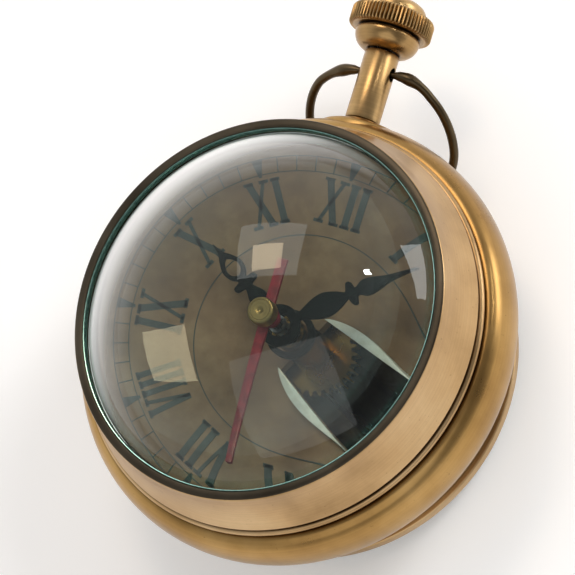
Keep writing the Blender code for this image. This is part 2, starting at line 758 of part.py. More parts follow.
def build_dial():
    holes = [dial_window_outline()]
    dial = prism(circle(DIAL_RADIUS, ROUND_STEPS), holes, DIAL_BOTTOM, DIAL_TOP)
    place("dial_plate", dial, dial_paint)
    bottom = DIAL_TOP + CLEARANCE
    top = SHOULDER_TOP - SHOULDER_THICKNESS - CLEARANCE
    profile = [
        (FLANGE_FOOT_RADIUS, bottom),
        (FLANGE_FOOT_RADIUS + FLANGE_THICKNESS, bottom),
        (LENS_RADIUS, top - FLANGE_THICKNESS),
        (LENS_RADIUS, top),
        (SHOULDER_RADIUS, top),
    ]
    place("dial_flange", turned(profile, ROUND_STEPS, True), dark_brass)


def pivot_hole(x, y):
    return circle(PIVOT_RADIUS + PIVOT_PLAY, 10, x, y)


def build_main_plate():
    slot = [
        (-STEM_SLOT_HALF, PLATE_RADIUS + OVERRUN),
        (-STEM_SLOT_HALF, STEM_SLOT_END),
        (STEM_SLOT_HALF, STEM_SLOT_END),
        (STEM_SLOT_HALF, PLATE_RADIUS + OVERRUN),
    ]
    holes = [
        circle(CENTRE_HOLE, 16),
        window_outline(),
        pivot_hole(THIRD_X, THIRD_Y),
        pivot_hole(ESCAPE_X, ESCAPE_Y),
        pivot_hole(PALLET_X, PALLET_Y),
        pivot_hole(BALANCE_X, BALANCE_Y),
        pivot_hole(MOTION_X, MOTION_Y),
        circle(BARREL_ARBOR_RADIUS / 2 + PIVOT_PLAY, 12, BARREL_X, BARREL_Y),
    ]
    plate = prism(circle(PLATE_RADIUS, ROUND_STEPS), holes, PLATE_BOTTOM, PLATE_TOP)
    plate = place("main_plate", plate, plate_metal)
    slot_cut = prism(slot, [], PLATE_BOTTOM - OVERRUN, PLATE_TOP + OVERRUN)
    cut(plate, place("stem_slot", slot_cut, plate_metal))


def bridge_outline(side):
    """The part of a disc that lies on one side of the split between the two bridges."""
    half = math.acos(BRIDGE_SPLIT / BRIDGE_RADIUS)
    if side > 0:
        return rotated(arc(BRIDGE_RADIUS, -half, half, 30), BRIDGE_SPLIT_TURN)
    split = BRIDGE_SPLIT - CLEARANCE
    half = math.acos(split / BRIDGE_RADIUS)
    return rotated(arc(BRIDGE_RADIUS, half, math.tau - half, 34), BRIDGE_SPLIT_TURN)


def pillars(name, bridge, turns, material):
    top = PLATE_BOTTOM - CLEARANCE
    for number, turn in enumerate(turns, 1):
        x = PILLAR_CIRCLE * math.cos(turn)
        y = PILLAR_CIRCLE * math.sin(turn)
        post = cylinder(PILLAR_RADIUS, BRIDGE_BOTTOM + RUN, top, 10)
        join(bridge, place(f"{name}_pillar_{number}", post, material, x, y))


def build_bridges():
    arbor_hole = circle(BARREL_ARBOR_RADIUS + PIVOT_PLAY, 14, BARREL_X, BARREL_Y)
    crown_hole = circle(ARBOR_RADIUS * 2 + PIVOT_PLAY, 14, 0.0, CROWN_WHEEL_Y)
    upper = prism(bridge_outline(1), [arbor_hole, crown_hole], BRIDGE_BOTTOM, BRIDGE_TOP)
    barrel_bridge = place("barrel_bridge", upper, bridge_metal)
    pillars("barrel_bridge", barrel_bridge, BARREL_BRIDGE_TURNS, bridge_metal)
    holes = [
        circle(SECONDS_ROD_RADIUS + PIVOT_PLAY, 12),
        pivot_hole(THIRD_X, THIRD_Y),
        pivot_hole(ESCAPE_X, ESCAPE_Y),
    ]
    lower = prism(bridge_outline(-1), holes, BRIDGE_BOTTOM, BRIDGE_TOP)
    train_bridge = place("train_bridge", lower, bridge_metal)
    bay = cylinder(BALANCE_CUT, BRIDGE_BOTTOM - OVERRUN, BRIDGE_TOP + OVERRUN, 36)
    way_out = prism(cock_bay(), [], BRIDGE_BOTTOM - OVERRUN, BRIDGE_TOP + OVERRUN)
    cut(train_bridge, place("balance_bay", bay, bridge_metal, BALANCE_X, BALANCE_Y))
    cut(train_bridge, place("cock_bay", way_out, bridge_metal))
    pillars("train_bridge", train_bridge, TRAIN_BRIDGE_TURNS, bridge_metal)


def balance_direction():
    return math.atan2(BALANCE_Y, BALANCE_X)


def cock_bay():
    """The way from the balance's bay out to the plate's edge, round the cock's foot."""
    half = COCK_HALF_ROOT + CLEARANCE * 2
    start = BALANCE_CENTRE
    end = BRIDGE_RADIUS + OVERRUN
    return rotated([(start, -half), (end, -half), (end, half), (start, half)], balance_direction())


def build_balance_cock():
    centre = BALANCE_CENTRE
    nose = arc(COCK_HALF_TIP, math.pi * 3 / 2, math.pi / 2, 8)
    outline = moved(nose, centre, 0.0)
    outline += [
        (COCK_FOOT_START, COCK_HALF_ROOT),
        (COCK_FOOT_END - COCK_HALF_TIP / 2, COCK_HALF_ROOT),
        (COCK_FOOT_END, COCK_HALF_ROOT - COCK_HALF_TIP / 2),
        (COCK_FOOT_END, -COCK_HALF_ROOT + COCK_HALF_TIP / 2),
        (COCK_FOOT_END - COCK_HALF_TIP / 2, -COCK_HALF_ROOT),
        (COCK_FOOT_START, -COCK_HALF_ROOT),
    ]
    hole = circle(PIVOT_RADIUS + PIVOT_PLAY, 10, centre, 0.0)
    way = balance_direction()
    arm = prism(rotated(outline, way), [rotated(hole, way)], COCK_BOTTOM, COCK_TOP)
    cock = place("balance_cock", arm, bridge_metal)
    foot = [
        (COCK_FOOT_START, -COCK_HALF_TIP),
        (COCK_FOOT_END - COCK_HALF_TIP / 2, -COCK_HALF_TIP),
        (COCK_FOOT_END - COCK_HALF_TIP / 2, COCK_HALF_TIP),
        (COCK_FOOT_START, COCK_HALF_TIP),
    ]
    post = prism(rotated(foot, way), [], COCK_BOTTOM + RUN, PLATE_BOTTOM - CLEARANCE)
    join(cock, place("cock_foot", post, bridge_metal))


def screw_mesh(top):
    """A slotted cheese head that lies under a bridge, with its face down."""
    bottom = top - SCREW_HEAD_HEIGHT
    half = SCREW_SLOT / 2
    slot_turn = math.asin(half / SCREW_HEAD_RADIUS)
    steps = 6
    left = arc(SCREW_HEAD_RADIUS, slot_turn, math.pi - slot_turn, steps)
    right = arc(SCREW_HEAD_RADIUS, math.pi + slot_turn, math.tau - slot_turn, steps)
    made = bmesh.new()
    slot_top = bottom + SCREW_SLOT_DEPTH
    loops = []
    for points in (left, right):
        low = [made.verts.new((x, y, bottom)) for x, y in points]
        mid = [made.verts.new((x, y, slot_top)) for x, y in points]
        high = [made.verts.new((x, y, top)) for x, y in points]
        loops.append((low, mid, high))
        made.faces.new(low)
        made.faces.new((low[-1], low[0], mid[0], mid[-1]))
        for layer, after in ((low, mid), (mid, high)):
            for step in range(steps):
                made.faces.new((layer[step], layer[step + 1], after[step + 1], after[step]))
    first, second = loops
    made.faces.new((first[1][0], first[1][-1], second[1][0], second[1][-1]))
    made.faces.new((first[1][-1], second[1][0], second[2][0], first[2][-1]))
    made.faces.new((second[1][-1], first[1][0], first[2][0], second[2][-1]))
    made.faces.new(first[2] + second[2])
    return made


def build_screws():
    top = BRIDGE_BOTTOM - CLEARANCE
    turns = BARREL_BRIDGE_TURNS + TRAIN_BRIDGE_TURNS
    for number, turn in enumerate(turns, 1):
        radius = PILLAR_CIRCLE - SCREW_HEAD_RADIUS / 2
        x = radius * math.cos(turn)
        y = radius * math.sin(turn)
        place(f"bridge_screw_{number}", screw_mesh(top), blued_steel, x, y, turn=(0.0, 0.0, turn * number))
    radius = (COCK_FOOT_START + COCK_FOOT_END) / 2
    x = radius * math.cos(balance_direction())
    y = radius * math.sin(balance_direction())
    place("cock_screw", screw_mesh(COCK_BOTTOM - CLEARANCE), blued_steel, x, y)


def arbor_profile(radius, bottom, top):
    """A plain arbor with a thinner pivot at each end, in the plate and in the bridge."""
    return [
        (0.0, BRIDGE_BOTTOM + CLEARANCE),
        (PIVOT_RADIUS, BRIDGE_BOTTOM + CLEARANCE),
        (PIVOT_RADIUS, bottom),
        (radius, bottom),
        (radius, top),
        (PIVOT_RADIUS, top),
        (PIVOT_RADIUS, PLATE_TOP - CLEARANCE),
        (0.0, PLATE_TOP - CLEARANCE),
    ]


def build_train():
    barrel_direction = math.atan2(BARREL_Y, BARREL_X)
    barrel_pitch = BARREL_DISTANCE * BARREL_TEETH / (BARREL_TEETH + PINION_LEAVES)
    centre_pinion_pitch = BARREL_DISTANCE - barrel_pitch
    third_total = CENTRE_TEETH + PINION_LEAVES
    centre_pitch = CENTRE_DISTANCE_THIRD * CENTRE_TEETH / third_total
    third_pinion_pitch = CENTRE_DISTANCE_THIRD - centre_pitch
    third_pitch = CENTRE_DISTANCE_THIRD * THIRD_TEETH / (THIRD_TEETH + PINION_LEAVES)
    fourth_pinion_pitch = CENTRE_DISTANCE_THIRD - third_pitch
    fourth_pitch = CENTRE_DISTANCE_ESCAPE * FOURTH_TEETH / (FOURTH_TEETH + PINION_LEAVES)
    escape_pinion_pitch = CENTRE_DISTANCE_ESCAPE - fourth_pitch

    # Levels of the train, down from the plate
    centre_top = PLATE_BOTTOM - 3 * RUN
    centre_bottom = centre_top - WHEEL_THICKNESS
    barrel_top = centre_bottom - 5 * RUN / 2
    barrel_bottom = barrel_top - BARREL_HEIGHT
    fourth_bottom = BRIDGE_TOP + CLEARANCE
    fourth_top = fourth_bottom + WHEEL_THICKNESS * FOURTH_THICKNESS_SHARE
    third_bottom = fourth_top + WHEEL_THICKNESS * THIRD_GAP_SHARE
    third_top = third_bottom + WHEEL_THICKNESS

    # Barrel
    barrel_phase = barrel_direction + math.pi
    rim = barrel_pitch - 2 * DEDENDUM_SHARE * barrel_pitch / BARREL_TEETH
    bore = BARREL_ARBOR_RADIUS + CLEARANCE
    teeth = prism(
        gear_outline(BARREL_TEETH, barrel_pitch, barrel_phase),
        [circle(bore, 16)],
        barrel_top - BARREL_TOOTH_BAND,
        barrel_top,
    )
    drum = tube(bore, rim - CLEARANCE, barrel_bottom, barrel_top - BARREL_TOOTH_BAND / 2, 32)
    barrel = place("mainspring_barrel", teeth, brass, BARREL_X, BARREL_Y)
    join(barrel, place("barrel_drum", drum, brass, BARREL_X, BARREL_Y))

    # Centre wheel with its pinion and hollow arbor
    pinion_phase = meshing_phase(BARREL_TEETH, barrel_phase, PINION_LEAVES, barrel_direction + math.pi)
    spoke = WHEEL_THICKNESS * SPOKE_SHARE
    windows = spoke_windows(CENTRE_TUBE_RADIUS * 2, centre_pitch * WHEEL_RIM_SHARE, 5, spoke, 4)
    wheel = prism(
        gear_outline(CENTRE_TEETH, centre_pitch, THIRD_TURN), windows, centre_bottom, centre_top
    )
    pinion_bottom = third_top + CLEARANCE
    pinion = prism(
        gear_outline(PINION_LEAVES, centre_pinion_pitch, pinion_phase),
        [],
        pinion_bottom,
        centre_bottom + WHEEL_THICKNESS / 2,
    )
    sleeve = cylinder(CENTRE_TUBE_RADIUS, centre_bottom + RUN, PLATE_TOP - RUN / 2, 14)
    bore = cylinder(CENTRE_TUBE_BORE, pinion_bottom - OVERRUN, PLATE_TOP + OVERRUN, 14)
    centre = place("centre_wheel", wheel, brass)
    join(centre, place("centre_pinion", pinion, brass), place("centre_sleeve", sleeve, brass))
    cut(centre, place("centre_bore", bore, brass))

    # Third wheel
    third_phase = meshing_phase(CENTRE_TEETH, THIRD_TURN, PINION_LEAVES, THIRD_TURN)
    fourth_direction = THIRD_TURN + math.pi
    windows = spoke_windows(ARBOR_RADIUS * 4, third_pitch * WHEEL_RIM_SHARE, 4, spoke, 4)
    wheel = prism(
        gear_outline(THIRD_TEETH, third_pitch, fourth_direction), windows, third_bottom, third_top
    )
    leaves = prism(
        gear_outline(PINION_LEAVES, third_pinion_pitch, third_phase),
        [],
        centre_bottom - RUN,
        centre_top + RUN,
    )
    arbor = turned(arbor_profile(ARBOR_RADIUS, BRIDGE_TOP + RUN, PLATE_BOTTOM - RUN), 12, False)
    third = place("third_wheel", wheel, brass, THIRD_X, THIRD_Y)
    join(
        third,
        place("third_arbor", arbor, steel, THIRD_X, THIRD_Y),
        place("third_pinion", leaves, steel, THIRD_X, THIRD_Y),
    )

    # Fourth wheel, whose arbor carries the seconds hand
    fourth_phase = meshing_phase(THIRD_TEETH, fourth_direction, PINION_LEAVES, fourth_direction)
    spoke = WHEEL_THICKNESS * THIN_SPOKE_SHARE
    windows = spoke_windows(ARBOR_RADIUS * 5, fourth_pitch * WHEEL_RIM_SHARE, 5, spoke, 4)
    wheel = prism(
        gear_outline(FOURTH_TEETH, fourth_pitch, ESCAPE_TURN), windows, fourth_bottom, fourth_top
    )
    leaves = prism(
        gear_outline(PINION_LEAVES, fourth_pinion_pitch, fourth_phase),
        [],
        fourth_bottom + RUN,
        third_top + RUN,
    )
    rod_top = SECOND_TOP + HAND_CAP_HEIGHT / 2
    rod = cylinder(SECONDS_ROD_RADIUS, BRIDGE_BOTTOM + CLEARANCE, rod_top, 12)
    fourth = place("fourth_wheel", wheel, brass)
    join(fourth, place("fourth_rod", rod, steel), place("fourth_pinion", leaves, steel))

    # Escape wheel
    escape_phase = meshing_phase(FOURTH_TEETH, ESCAPE_TURN, PINION_LEAVES, ESCAPE_TURN)
    hub = ARBOR_RADIUS * ESCAPE_HUB_SHARE
    windows = spoke_windows(hub, ESCAPE_RADIUS - ESCAPE_TOOTH * ESCAPE_RIM_SHARE, 4, WHEEL_THICKNESS, 4)
    wheel = prism(escape_outline(), windows, FORK_BOTTOM, FORK_BOTTOM + FORK_THICKNESS)
    leaves = prism(
        gear_outline(PINION_LEAVES, escape_pinion_pitch, escape_phase),
        [],
        fourth_bottom - RUN / 2,
        fourth_top + RUN,
    )
    arbor = turned(arbor_profile(ARBOR_RADIUS, BRIDGE_TOP + RUN / 2, PLATE_BOTTOM - RUN), 12, False)
    escape = place("escape_wheel", wheel, steel, ESCAPE_X, ESCAPE_Y)
    join(
        escape,
        place("escape_arbor", arbor, steel, ESCAPE_X, ESCAPE_Y),
        place("escape_pinion", leaves, steel, ESCAPE_X, ESCAPE_Y),
    )


def escape_outline():
    """Fifteen hooked teeth."""
    points = []
    pitch = math.tau / ESCAPE_TEETH
    shape = ((1.0, 0.00), (1.0, 0.10), (0.55, 0.22), (0.0, 0.42), (0.0, 0.86), (0.5, 0.93))
    for tooth in range(ESCAPE_TEETH):
        for height_share, pitch_share in shape:
            radius = ESCAPE_RADIUS - ESCAPE_TOOTH * (1 - height_share)
            angle = (tooth + pitch_share) * pitch
            points.append((radius * math.cos(angle), radius * math.sin(angle)))
    return points


def build_escapement():
    """The fork, its two pallets just clear of the escape wheel, and its lever towards the balance."""
    bottom = FORK_BOTTOM
    top = FORK_BOTTOM + FORK_THICKNESS
    way = BALANCE_TURN
    half = FORK_ARM / 2
    lever_end = BALANCE_DISTANCE - PALLET_DISTANCE - ROLLER_RADIUS - RUN
    back = PALLET_DISTANCE - PALLET_REACH * math.cos(PALLET_SPREAD)
    side = PALLET_REACH * math.sin(PALLET_SPREAD)
    outline = [
        (lever_end - half * 2, -half),
        (lever_end - half, -half * 2),
        (lever_end, -half * 2),
        (lever_end, -half),
        (lever_end - half, -half / 2),
        (lever_end - half, half / 2),
        (lever_end, half),
        (lever_end, half * 2),
        (lever_end - half, half * 2),
        (lever_end - half * 2, half),
        (half * 2, half),
        (half, side * PALLET_SHOULDER_SHARE),
        (-back + half, side + half * 2),
        (-back - half, side + half),
        (-back, side),
        (-half, side * PALLET_WAIST_SHARE),
        (-half, -side * PALLET_WAIST_SHARE),
        (-back, -side),
        (-back - half, -side - half),
        (-back + half, -side - half * 2),
        (half, -side * PALLET_SHOULDER_SHARE),
        (half * 2, -half),
    ]
    fork = prism(rotated(outline, way), [], bottom, top)
    piece = place("pallet_fork", fork, steel, PALLET_X, PALLET_Y)
    arbor = cylinder(PIVOT_RADIUS, bottom - FORK_THICKNESS, PLATE_TOP - CLEARANCE, 10)
    join(piece, place("pallet_arbor", arbor, steel, PALLET_X, PALLET_Y))


def build_balance():
    inner = BALANCE_RADIUS - BALANCE_RIM
    hub = STAFF_RADIUS * BALANCE_HUB_SHARE
    windows = spoke_windows(hub, inner, 2, BALANCE_RIM * BALANCE_ARM_SHARE, 12, turn=BALANCE_ARM_TURN)
    bore = circle(STAFF_RADIUS + RUN / 2, 12)
    wheel = prism(circle(BALANCE_RADIUS, 32), [bore, *windows], BALANCE_BOTTOM, BALANCE_TOP)
    balance = place("balance_wheel", wheel, brass, BALANCE_X, BALANCE_Y)
    middle = (BALANCE_BOTTOM + BALANCE_TOP) / 2
    for number in range(BALANCE_SCREWS):
        angle = math.tau * (number + 0.5) / BALANCE_SCREWS
        start = BALANCE_RADIUS - BALANCE_RIM / 2
        head = cylinder(BALANCE_SCREW_RADIUS, start, BALANCE_RADIUS + BALANCE_SCREW_LENGTH, 8)
        lie = (math.pi / 2, 0.0, angle + math.pi / 2)
        join(balance, place(f"timing_screw_{number + 1}", head, brass, BALANCE_X, BALANCE_Y, middle, lie))
    fork_top = FORK_BOTTOM + FORK_THICKNESS
    profile = [
        (0.0, COCK_BOTTOM + CLEARANCE),
        (PIVOT_RADIUS, COCK_BOTTOM + CLEARANCE),
        (PIVOT_RADIUS, COCK_TOP + RUN),
        (STAFF_RADIUS, COCK_TOP + RUN),
        (STAFF_RADIUS, FORK_BOTTOM - RUN),
        (ROLLER_RADIUS, FORK_BOTTOM - RUN),
        (ROLLER_RADIUS, fork_top + RUN),
        (STAFF_RADIUS, fork_top + RUN),
        (STAFF_RADIUS, PLATE_BOTTOM - RUN),
        (PIVOT_RADIUS, PLATE_BOTTOM - RUN),
        (PIVOT_RADIUS, PLATE_TOP - CLEARANCE),
        (0.0, PLATE_TOP - CLEARANCE),
    ]
    place("balance_staff", turned(profile, 12, False), steel, BALANCE_X, BALANCE_Y)
    build_hairspring()


def build_hairspring():
    """A flat spiral of thin strip, open at its inner end, which meets the stud at its outer end."""
    bottom = BALANCE_BOTTOM - CLEARANCE - SPRING_HEIGHT
    steps = 14 * SPRING_TURNS
    outer_side = []
    inner_side = []
    for step in range(steps + 1):
        share = step / steps
        angle = balance_direction() + math.tau * SPRING_TURNS * share
        radius = SPRING_INNER + (SPRING_OUTER - SPRING_INNER) * share
        outer_side.append((radius + SPRING_WIRE / 2, angle))
        inner_side.append((radius - SPRING_WIRE / 2, angle))
    loop = [(r * math.cos(a), r * math.sin(a)) for r, a in outer_side + inner_side[::-1]]
    spring = prism(loop, [], bottom, bottom + SPRING_HEIGHT)
    place("hairspring", spring, blued_steel, BALANCE_X, BALANCE_Y)
    reach = SPRING_OUTER + SPRING_WIRE / 2 + STUD_RADIUS + CLEARANCE / 2
    x = BALANCE_X + reach * math.cos(balance_direction())
    y = BALANCE_Y + reach * math.sin(balance_direction())
    stud = cylinder(STUD_RADIUS, COCK_TOP + CLEARANCE, bottom + SPRING_HEIGHT, 10)
    place("hairspring_stud", stud, steel, x, y)


def build_winding():
    ratchet_bottom = BRIDGE_BOTTOM - CLEARANCE - RATCHET_THICKNESS
    ratchet_top = ratchet_bottom + RATCHET_THICKNESS
    dx = BARREL_X
    dy = BARREL_Y - CROWN_WHEEL_Y
    distance = math.hypot(dx, dy)
    direction = math.atan2(dy, dx)
    spur_pitch = distance * CROWN_SPUR_TEETH / (CROWN_SPUR_TEETH + RATCHET_TEETH)
    ratchet_pitch = distance - spur_pitch
    ratchet_phase = meshing_phase(CROWN_SPUR_TEETH, direction, RATCHET_TEETH, direction)
    hole = circle(BARREL_ARBOR_RADIUS + RUN / 2, 16)
    ratchet = prism(
        gear_outline(RATCHET_TEETH, ratchet_pitch, ratchet_phase), [hole], ratchet_bottom, ratchet_top
    )
    place("ratchet_wheel", ratchet, steel, BARREL_X, BARREL_Y)
    profile = [
        (0.0, ratchet_bottom - RUN),
        (BARREL_ARBOR_RADIUS, ratchet_bottom - RUN),
        (BARREL_ARBOR_RADIUS, PLATE_BOTTOM - RUN),
        (BARREL_ARBOR_RADIUS / 2, PLATE_BOTTOM - RUN),
        (BARREL_ARBOR_RADIUS / 2, PLATE_TOP - CLEARANCE),
        (0.0, PLATE_TOP - CLEARANCE),
    ]
    place("barrel_arbor", turned(profile, 14, False), steel, BARREL_X, BARREL_Y)

    # Crown wheel: spur teeth under the bridge, face teeth near the plate
    module = 2 * WINDING_PITCH_RADIUS / WINDING_TEETH
    face_pitch_radius = WINDING_PITCH_RADIUS * CROWN_WHEEL_TEETH / WINDING_TEETH
    pitch_plane = MID_PLANE - WINDING_PITCH_RADIUS
    face_top = pitch_plane + module * FACE_TIP_SHARE
    face_root = pitch_plane - module * FACE_ROOT_SHARE
    face_inner = face_pitch_radius - module * FACE_ROOT_SHARE
    face_outer = face_pitch_radius + module * FACE_ROOT_SHARE
    spur = prism(
        gear_outline(CROWN_SPUR_TEETH, spur_pitch, direction), [], ratchet_bottom, ratchet_top
    )
    wheel = place("crown_wheel", spur, steel, 0.0, CROWN_WHEEL_Y)
    stalk = cylinder(ARBOR_RADIUS * 2, ratchet_bottom + RUN, face_root, 14)
    disc = cylinder(face_outer, face_root - WHEEL_THICKNESS, face_root, 24)
    join(wheel, place("crown_stalk", stalk, steel, 0.0, CROWN_WHEEL_Y))
    join(wheel, place("crown_disc", disc, steel, 0.0, CROWN_WHEEL_Y))
    pitch = math.tau / CROWN_WHEEL_TEETH
    for tooth in range(CROWN_WHEEL_TEETH):
        middle = math.pi / 2 + (tooth + 0.5) * pitch
        half = pitch * TOOTH_ROOT_SHARE / 2
        tip_half = pitch * TOOTH_TIP_SHARE / 2
        made = bmesh.new()
        low = []
        high = []
        for radius, side in ((face_inner, -1), (face_outer, -1), (face_outer, 1), (face_inner, 1)):
            low_turn = middle + side * half
            high_turn = middle + side * tip_half
            low.append(made.verts.new(
                (radius * math.cos(low_turn), radius * math.sin(low_turn), face_root - RUN)
            ))
            high.append(made.verts.new(
                (radius * math.cos(high_turn), radius * math.sin(high_turn), face_top)
            ))
        made.faces.new(low)
        made.faces.new(high)
        for side in range(4):
            after = (side + 1) % 4
            made.faces.new((low[side], low[after], high[after], high[side]))
        join(wheel, place(f"face_tooth_{tooth + 1}", made, steel, 0.0, CROWN_WHEEL_Y))

    # Winding pinion, which the stem's nose slides in
    length = module * WINDING_LENGTH_SHARE
    start = CROWN_WHEEL_Y + face_pitch_radius - length / 2
    bore = circle(STEM_NOSE_RADIUS + CLEARANCE / 2, 12)
    leaves = prism(
        gear_outline(WINDING_TEETH, WINDING_PITCH_RADIUS, -math.pi / 2),
        [bore],
        start,
        start + length,
    )
    pinion = place("winding_pinion", leaves, steel, z=MID_PLANE, turn=along_y)
    sleeve_start = start + length - RUN
    sleeve_end = STEM_NOSE_START - CLEARANCE
    sleeve_bore = STEM_NOSE_RADIUS + CLEARANCE
    sleeve = tube(sleeve_bore, WINDING_SLEEVE_RADIUS, sleeve_start, sleeve_end, 12)
    join(pinion, place("winding_sleeve", sleeve, steel, z=MID_PLANE, turn=along_y))

    # Click that holds the ratchet
    x = BARREL_X + CLICK_DISTANCE * math.cos(CLICK_TURN)
    y = BARREL_Y + CLICK_DISTANCE * math.sin(CLICK_TURN)
    near = ratchet_pitch * (1 + 2 * ADDENDUM_SHARE / RATCHET_TEETH) + CLEARANCE
    opposite = CLICK_DISTANCE**2 + CLICK_REACH**2 - near**2
    lean = math.acos(opposite / (2 * CLICK_DISTANCE * CLICK_REACH))
    way = CLICK_TURN + math.pi - lean
    eye = circle(PIVOT_RADIUS * CLICK_EYE_SHARE, 10)
    click = prism(rotated(click_outline(), way), [eye], ratchet_bottom, ratchet_top)
    place("click", click, steel, x, y)
    head_top = ratchet_bottom - CLEARANCE
    head = cylinder(SCREW_HEAD_RADIUS * CLICK_HEAD_SHARE, head_top - RUN, head_top, 12)
    pin = cylinder(PIVOT_RADIUS, head_top - RUN / 2, BRIDGE_BOTTOM - CLEARANCE, 10)
    screw = place("click_screw", head, blued_steel, x, y)
    join(screw, place("click_pin", pin, blued_steel, x, y))


def click_outline():
    """A round eye with a beak towards the ratchet."""
    half = CLICK_WIDTH / 2
    eye = arc(CLICK_RADIUS, math.radians(50.0), math.radians(310.0), 12)
    beak = [
        (CLICK_REACH * CLICK_SHOULDER_SHARE, -half),
        (CLICK_REACH, -half * CLICK_TIP_SHARE),
        (CLICK_REACH, half * CLICK_TIP_SHARE),
        (CLICK_REACH * CLICK_SHOULDER_SHARE, half),
    ]
    return [*eye, *beak]


def build_motion_work():
    lower_bottom = PLATE_TOP + RUN
    lower_top = lower_bottom + MOTION_THICKNESS
    upper_bottom = lower_top + RUN * MOTION_GAP_SHARE
    upper_top = upper_bottom + MOTION_THICKNESS
    lower_total = CANNON_TEETH + MINUTE_WHEEL_TEETH
    cannon_pitch = MOTION_DISTANCE * CANNON_TEETH / lower_total
    minute_pitch = MOTION_DISTANCE - cannon_pitch
    upper_total = MINUTE_PINION_TEETH + HOUR_TEETH
    hour_pitch = MOTION_DISTANCE * HOUR_TEETH / upper_total
    minute_pinion_pitch = MOTION_DISTANCE - hour_pitch
    bore = circle(CENTRE_TUBE_BORE, 14)
    leaves = prism(gear_outline(CANNON_TEETH, cannon_pitch, MOTION_TURN), [bore], lower_bottom, lower_top)
    cannon = place("cannon_pinion", leaves, steel)
    barrel = tube(CENTRE_TUBE_BORE, CENTRE_TUBE_RADIUS, lower_bottom + RUN / 2, MINUTE_TOP + CLEARANCE, 14)
    join(cannon, place("cannon_sleeve", barrel, steel))
    minute_phase = meshing_phase(CANNON_TEETH, MOTION_TURN, MINUTE_WHEEL_TEETH, MOTION_TURN)
    wheel = prism(
        gear_outline(MINUTE_WHEEL_TEETH, minute_pitch, minute_phase), [], lower_bottom, lower_top
    )
    minute = place("minute_wheel", wheel, brass, MOTION_X, MOTION_Y)
    leaves = prism(
        gear_outline(MINUTE_PINION_TEETH, minute_pinion_pitch, MOTION_TURN + math.pi),
        [],
        lower_top - RUN,
        upper_top,
    )
    pivot = cylinder(PIVOT_RADIUS, PLATE_BOTTOM + CLEARANCE, lower_bottom + RUN, 10)
    join(
        minute,
        place("minute_pinion", leaves, brass, MOTION_X, MOTION_Y),
        place("minute_pivot", pivot, brass, MOTION_X, MOTION_Y),
    )
    hour_phase = meshing_phase(
        MINUTE_PINION_TEETH, MOTION_TURN + math.pi, HOUR_TEETH, MOTION_TURN + math.pi
    )
    bore = circle(HOUR_TUBE_BORE, 16)
    wheel = prism(gear_outline(HOUR_TEETH, hour_pitch, hour_phase), [bore], upper_bottom, upper_top)
    hour = place("hour_wheel", wheel, brass)
    sleeve = tube(HOUR_TUBE_BORE, HOUR_TUBE_RADIUS, upper_bottom + RUN / 2, HOUR_TOP + CLEARANCE, 16)
    join(hour, place("hour_sleeve", sleeve, brass))


def hand_outline(length, width, hub, shape):
    """Both sides of a fancy hand along +X, from its round hub to its point."""
    start = HAND_HUB_OPENING
    upper = [(length * along, width / 2 * across) for along, across in shape]
    lower = [(x, -y) for x, y in upper]
    return arc(hub, start, math.tau - start, 20) + lower + [(length, 0.0)] + upper[::-1]


def build_hands():
    hour_angle = math.radians(90.0 - 30.0 * (TIME_HOURS + TIME_MINUTES / 60))
    minute_angle = math.radians(90.0 - 6.0 * TIME_MINUTES)
    second_angle = math.radians(90.0 - 6.0 * TIME_SECONDS)

    hour_outline = hand_outline(HOUR_HAND_LENGTH, HOUR_HAND_WIDTH, HAND_HUB_RADIUS, HOUR_SHAPE_SHARES)
    drop = [
        (HOUR_HAND_LENGTH * along, HOUR_HAND_WIDTH / 2 * across) for along, across in DROP_SHARES
    ]
    hour = prism(
        rotated(hour_outline, hour_angle),
        [circle(HOUR_TUBE_RADIUS + RUN, 16), rotated(drop, hour_angle)],
        HOUR_BOTTOM,
        HOUR_TOP,
    )
    place("hour_hand", hour, black_steel)

    hub = HAND_HUB_RADIUS * MINUTE_HUB_SHARE
    minute_outline = hand_outline(MINUTE_HAND_LENGTH, MINUTE_HAND_WIDTH, hub, MINUTE_SHAPE_SHARES)
    minute = prism(
        rotated(minute_outline, minute_angle),
        [circle(CENTRE_TUBE_RADIUS + RUN, 14)],
        MINUTE_BOTTOM,
        MINUTE_TOP,
    )
    place("minute_hand", minute, black_steel)

    half = SECOND_HAND_WIDTH / 2
    hub = HAND_CAP_RADIUS * SECOND_HUB_SHARE
    turn = math.asin(half / hub)
    outline = arc(hub, turn, math.pi - turn, 6)
    tail = half * SECOND_TAIL_SHARE
    tip = half * SECOND_TIP_SHARE
    outline += [(-SECOND_HAND_TAIL, tail), (-SECOND_HAND_TAIL, -tail)]
    outline += arc(hub, math.pi + turn, math.tau - turn, 6)
    outline += [(SECOND_HAND_LENGTH, -tip), (SECOND_HAND_LENGTH, tip)]
    second = prism(
        rotated(outline, second_angle),
        [circle(SECONDS_ROD_RADIUS + RUN / 2, 12)],
        SECOND_BOTTOM,
        SECOND_TOP,
    )
    place("second_hand", second, red_paint)

    top = HAND_CAP_TOP
    bottom = top - HAND_CAP_HEIGHT
    bore = SECONDS_ROD_RADIUS + RUN / 2
    dimple = HAND_CAP_RADIUS * DIMPLE_SHARE
    bore_end = top - HAND_CAP_HEIGHT * CAP_BORE_SHARE
    profile = [
        (0.0, bore_end),
        (bore, bore_end),
        (bore, bottom),
        (HAND_CAP_RADIUS, bottom),
        (HAND_CAP_RADIUS, top - RUN),
        (HAND_CAP_RADIUS - RUN, top),
        (dimple, top),
        (0.0, top - RUN),
    ]
    place("hand_cap", turned(profile, 24, False), pale_brass)


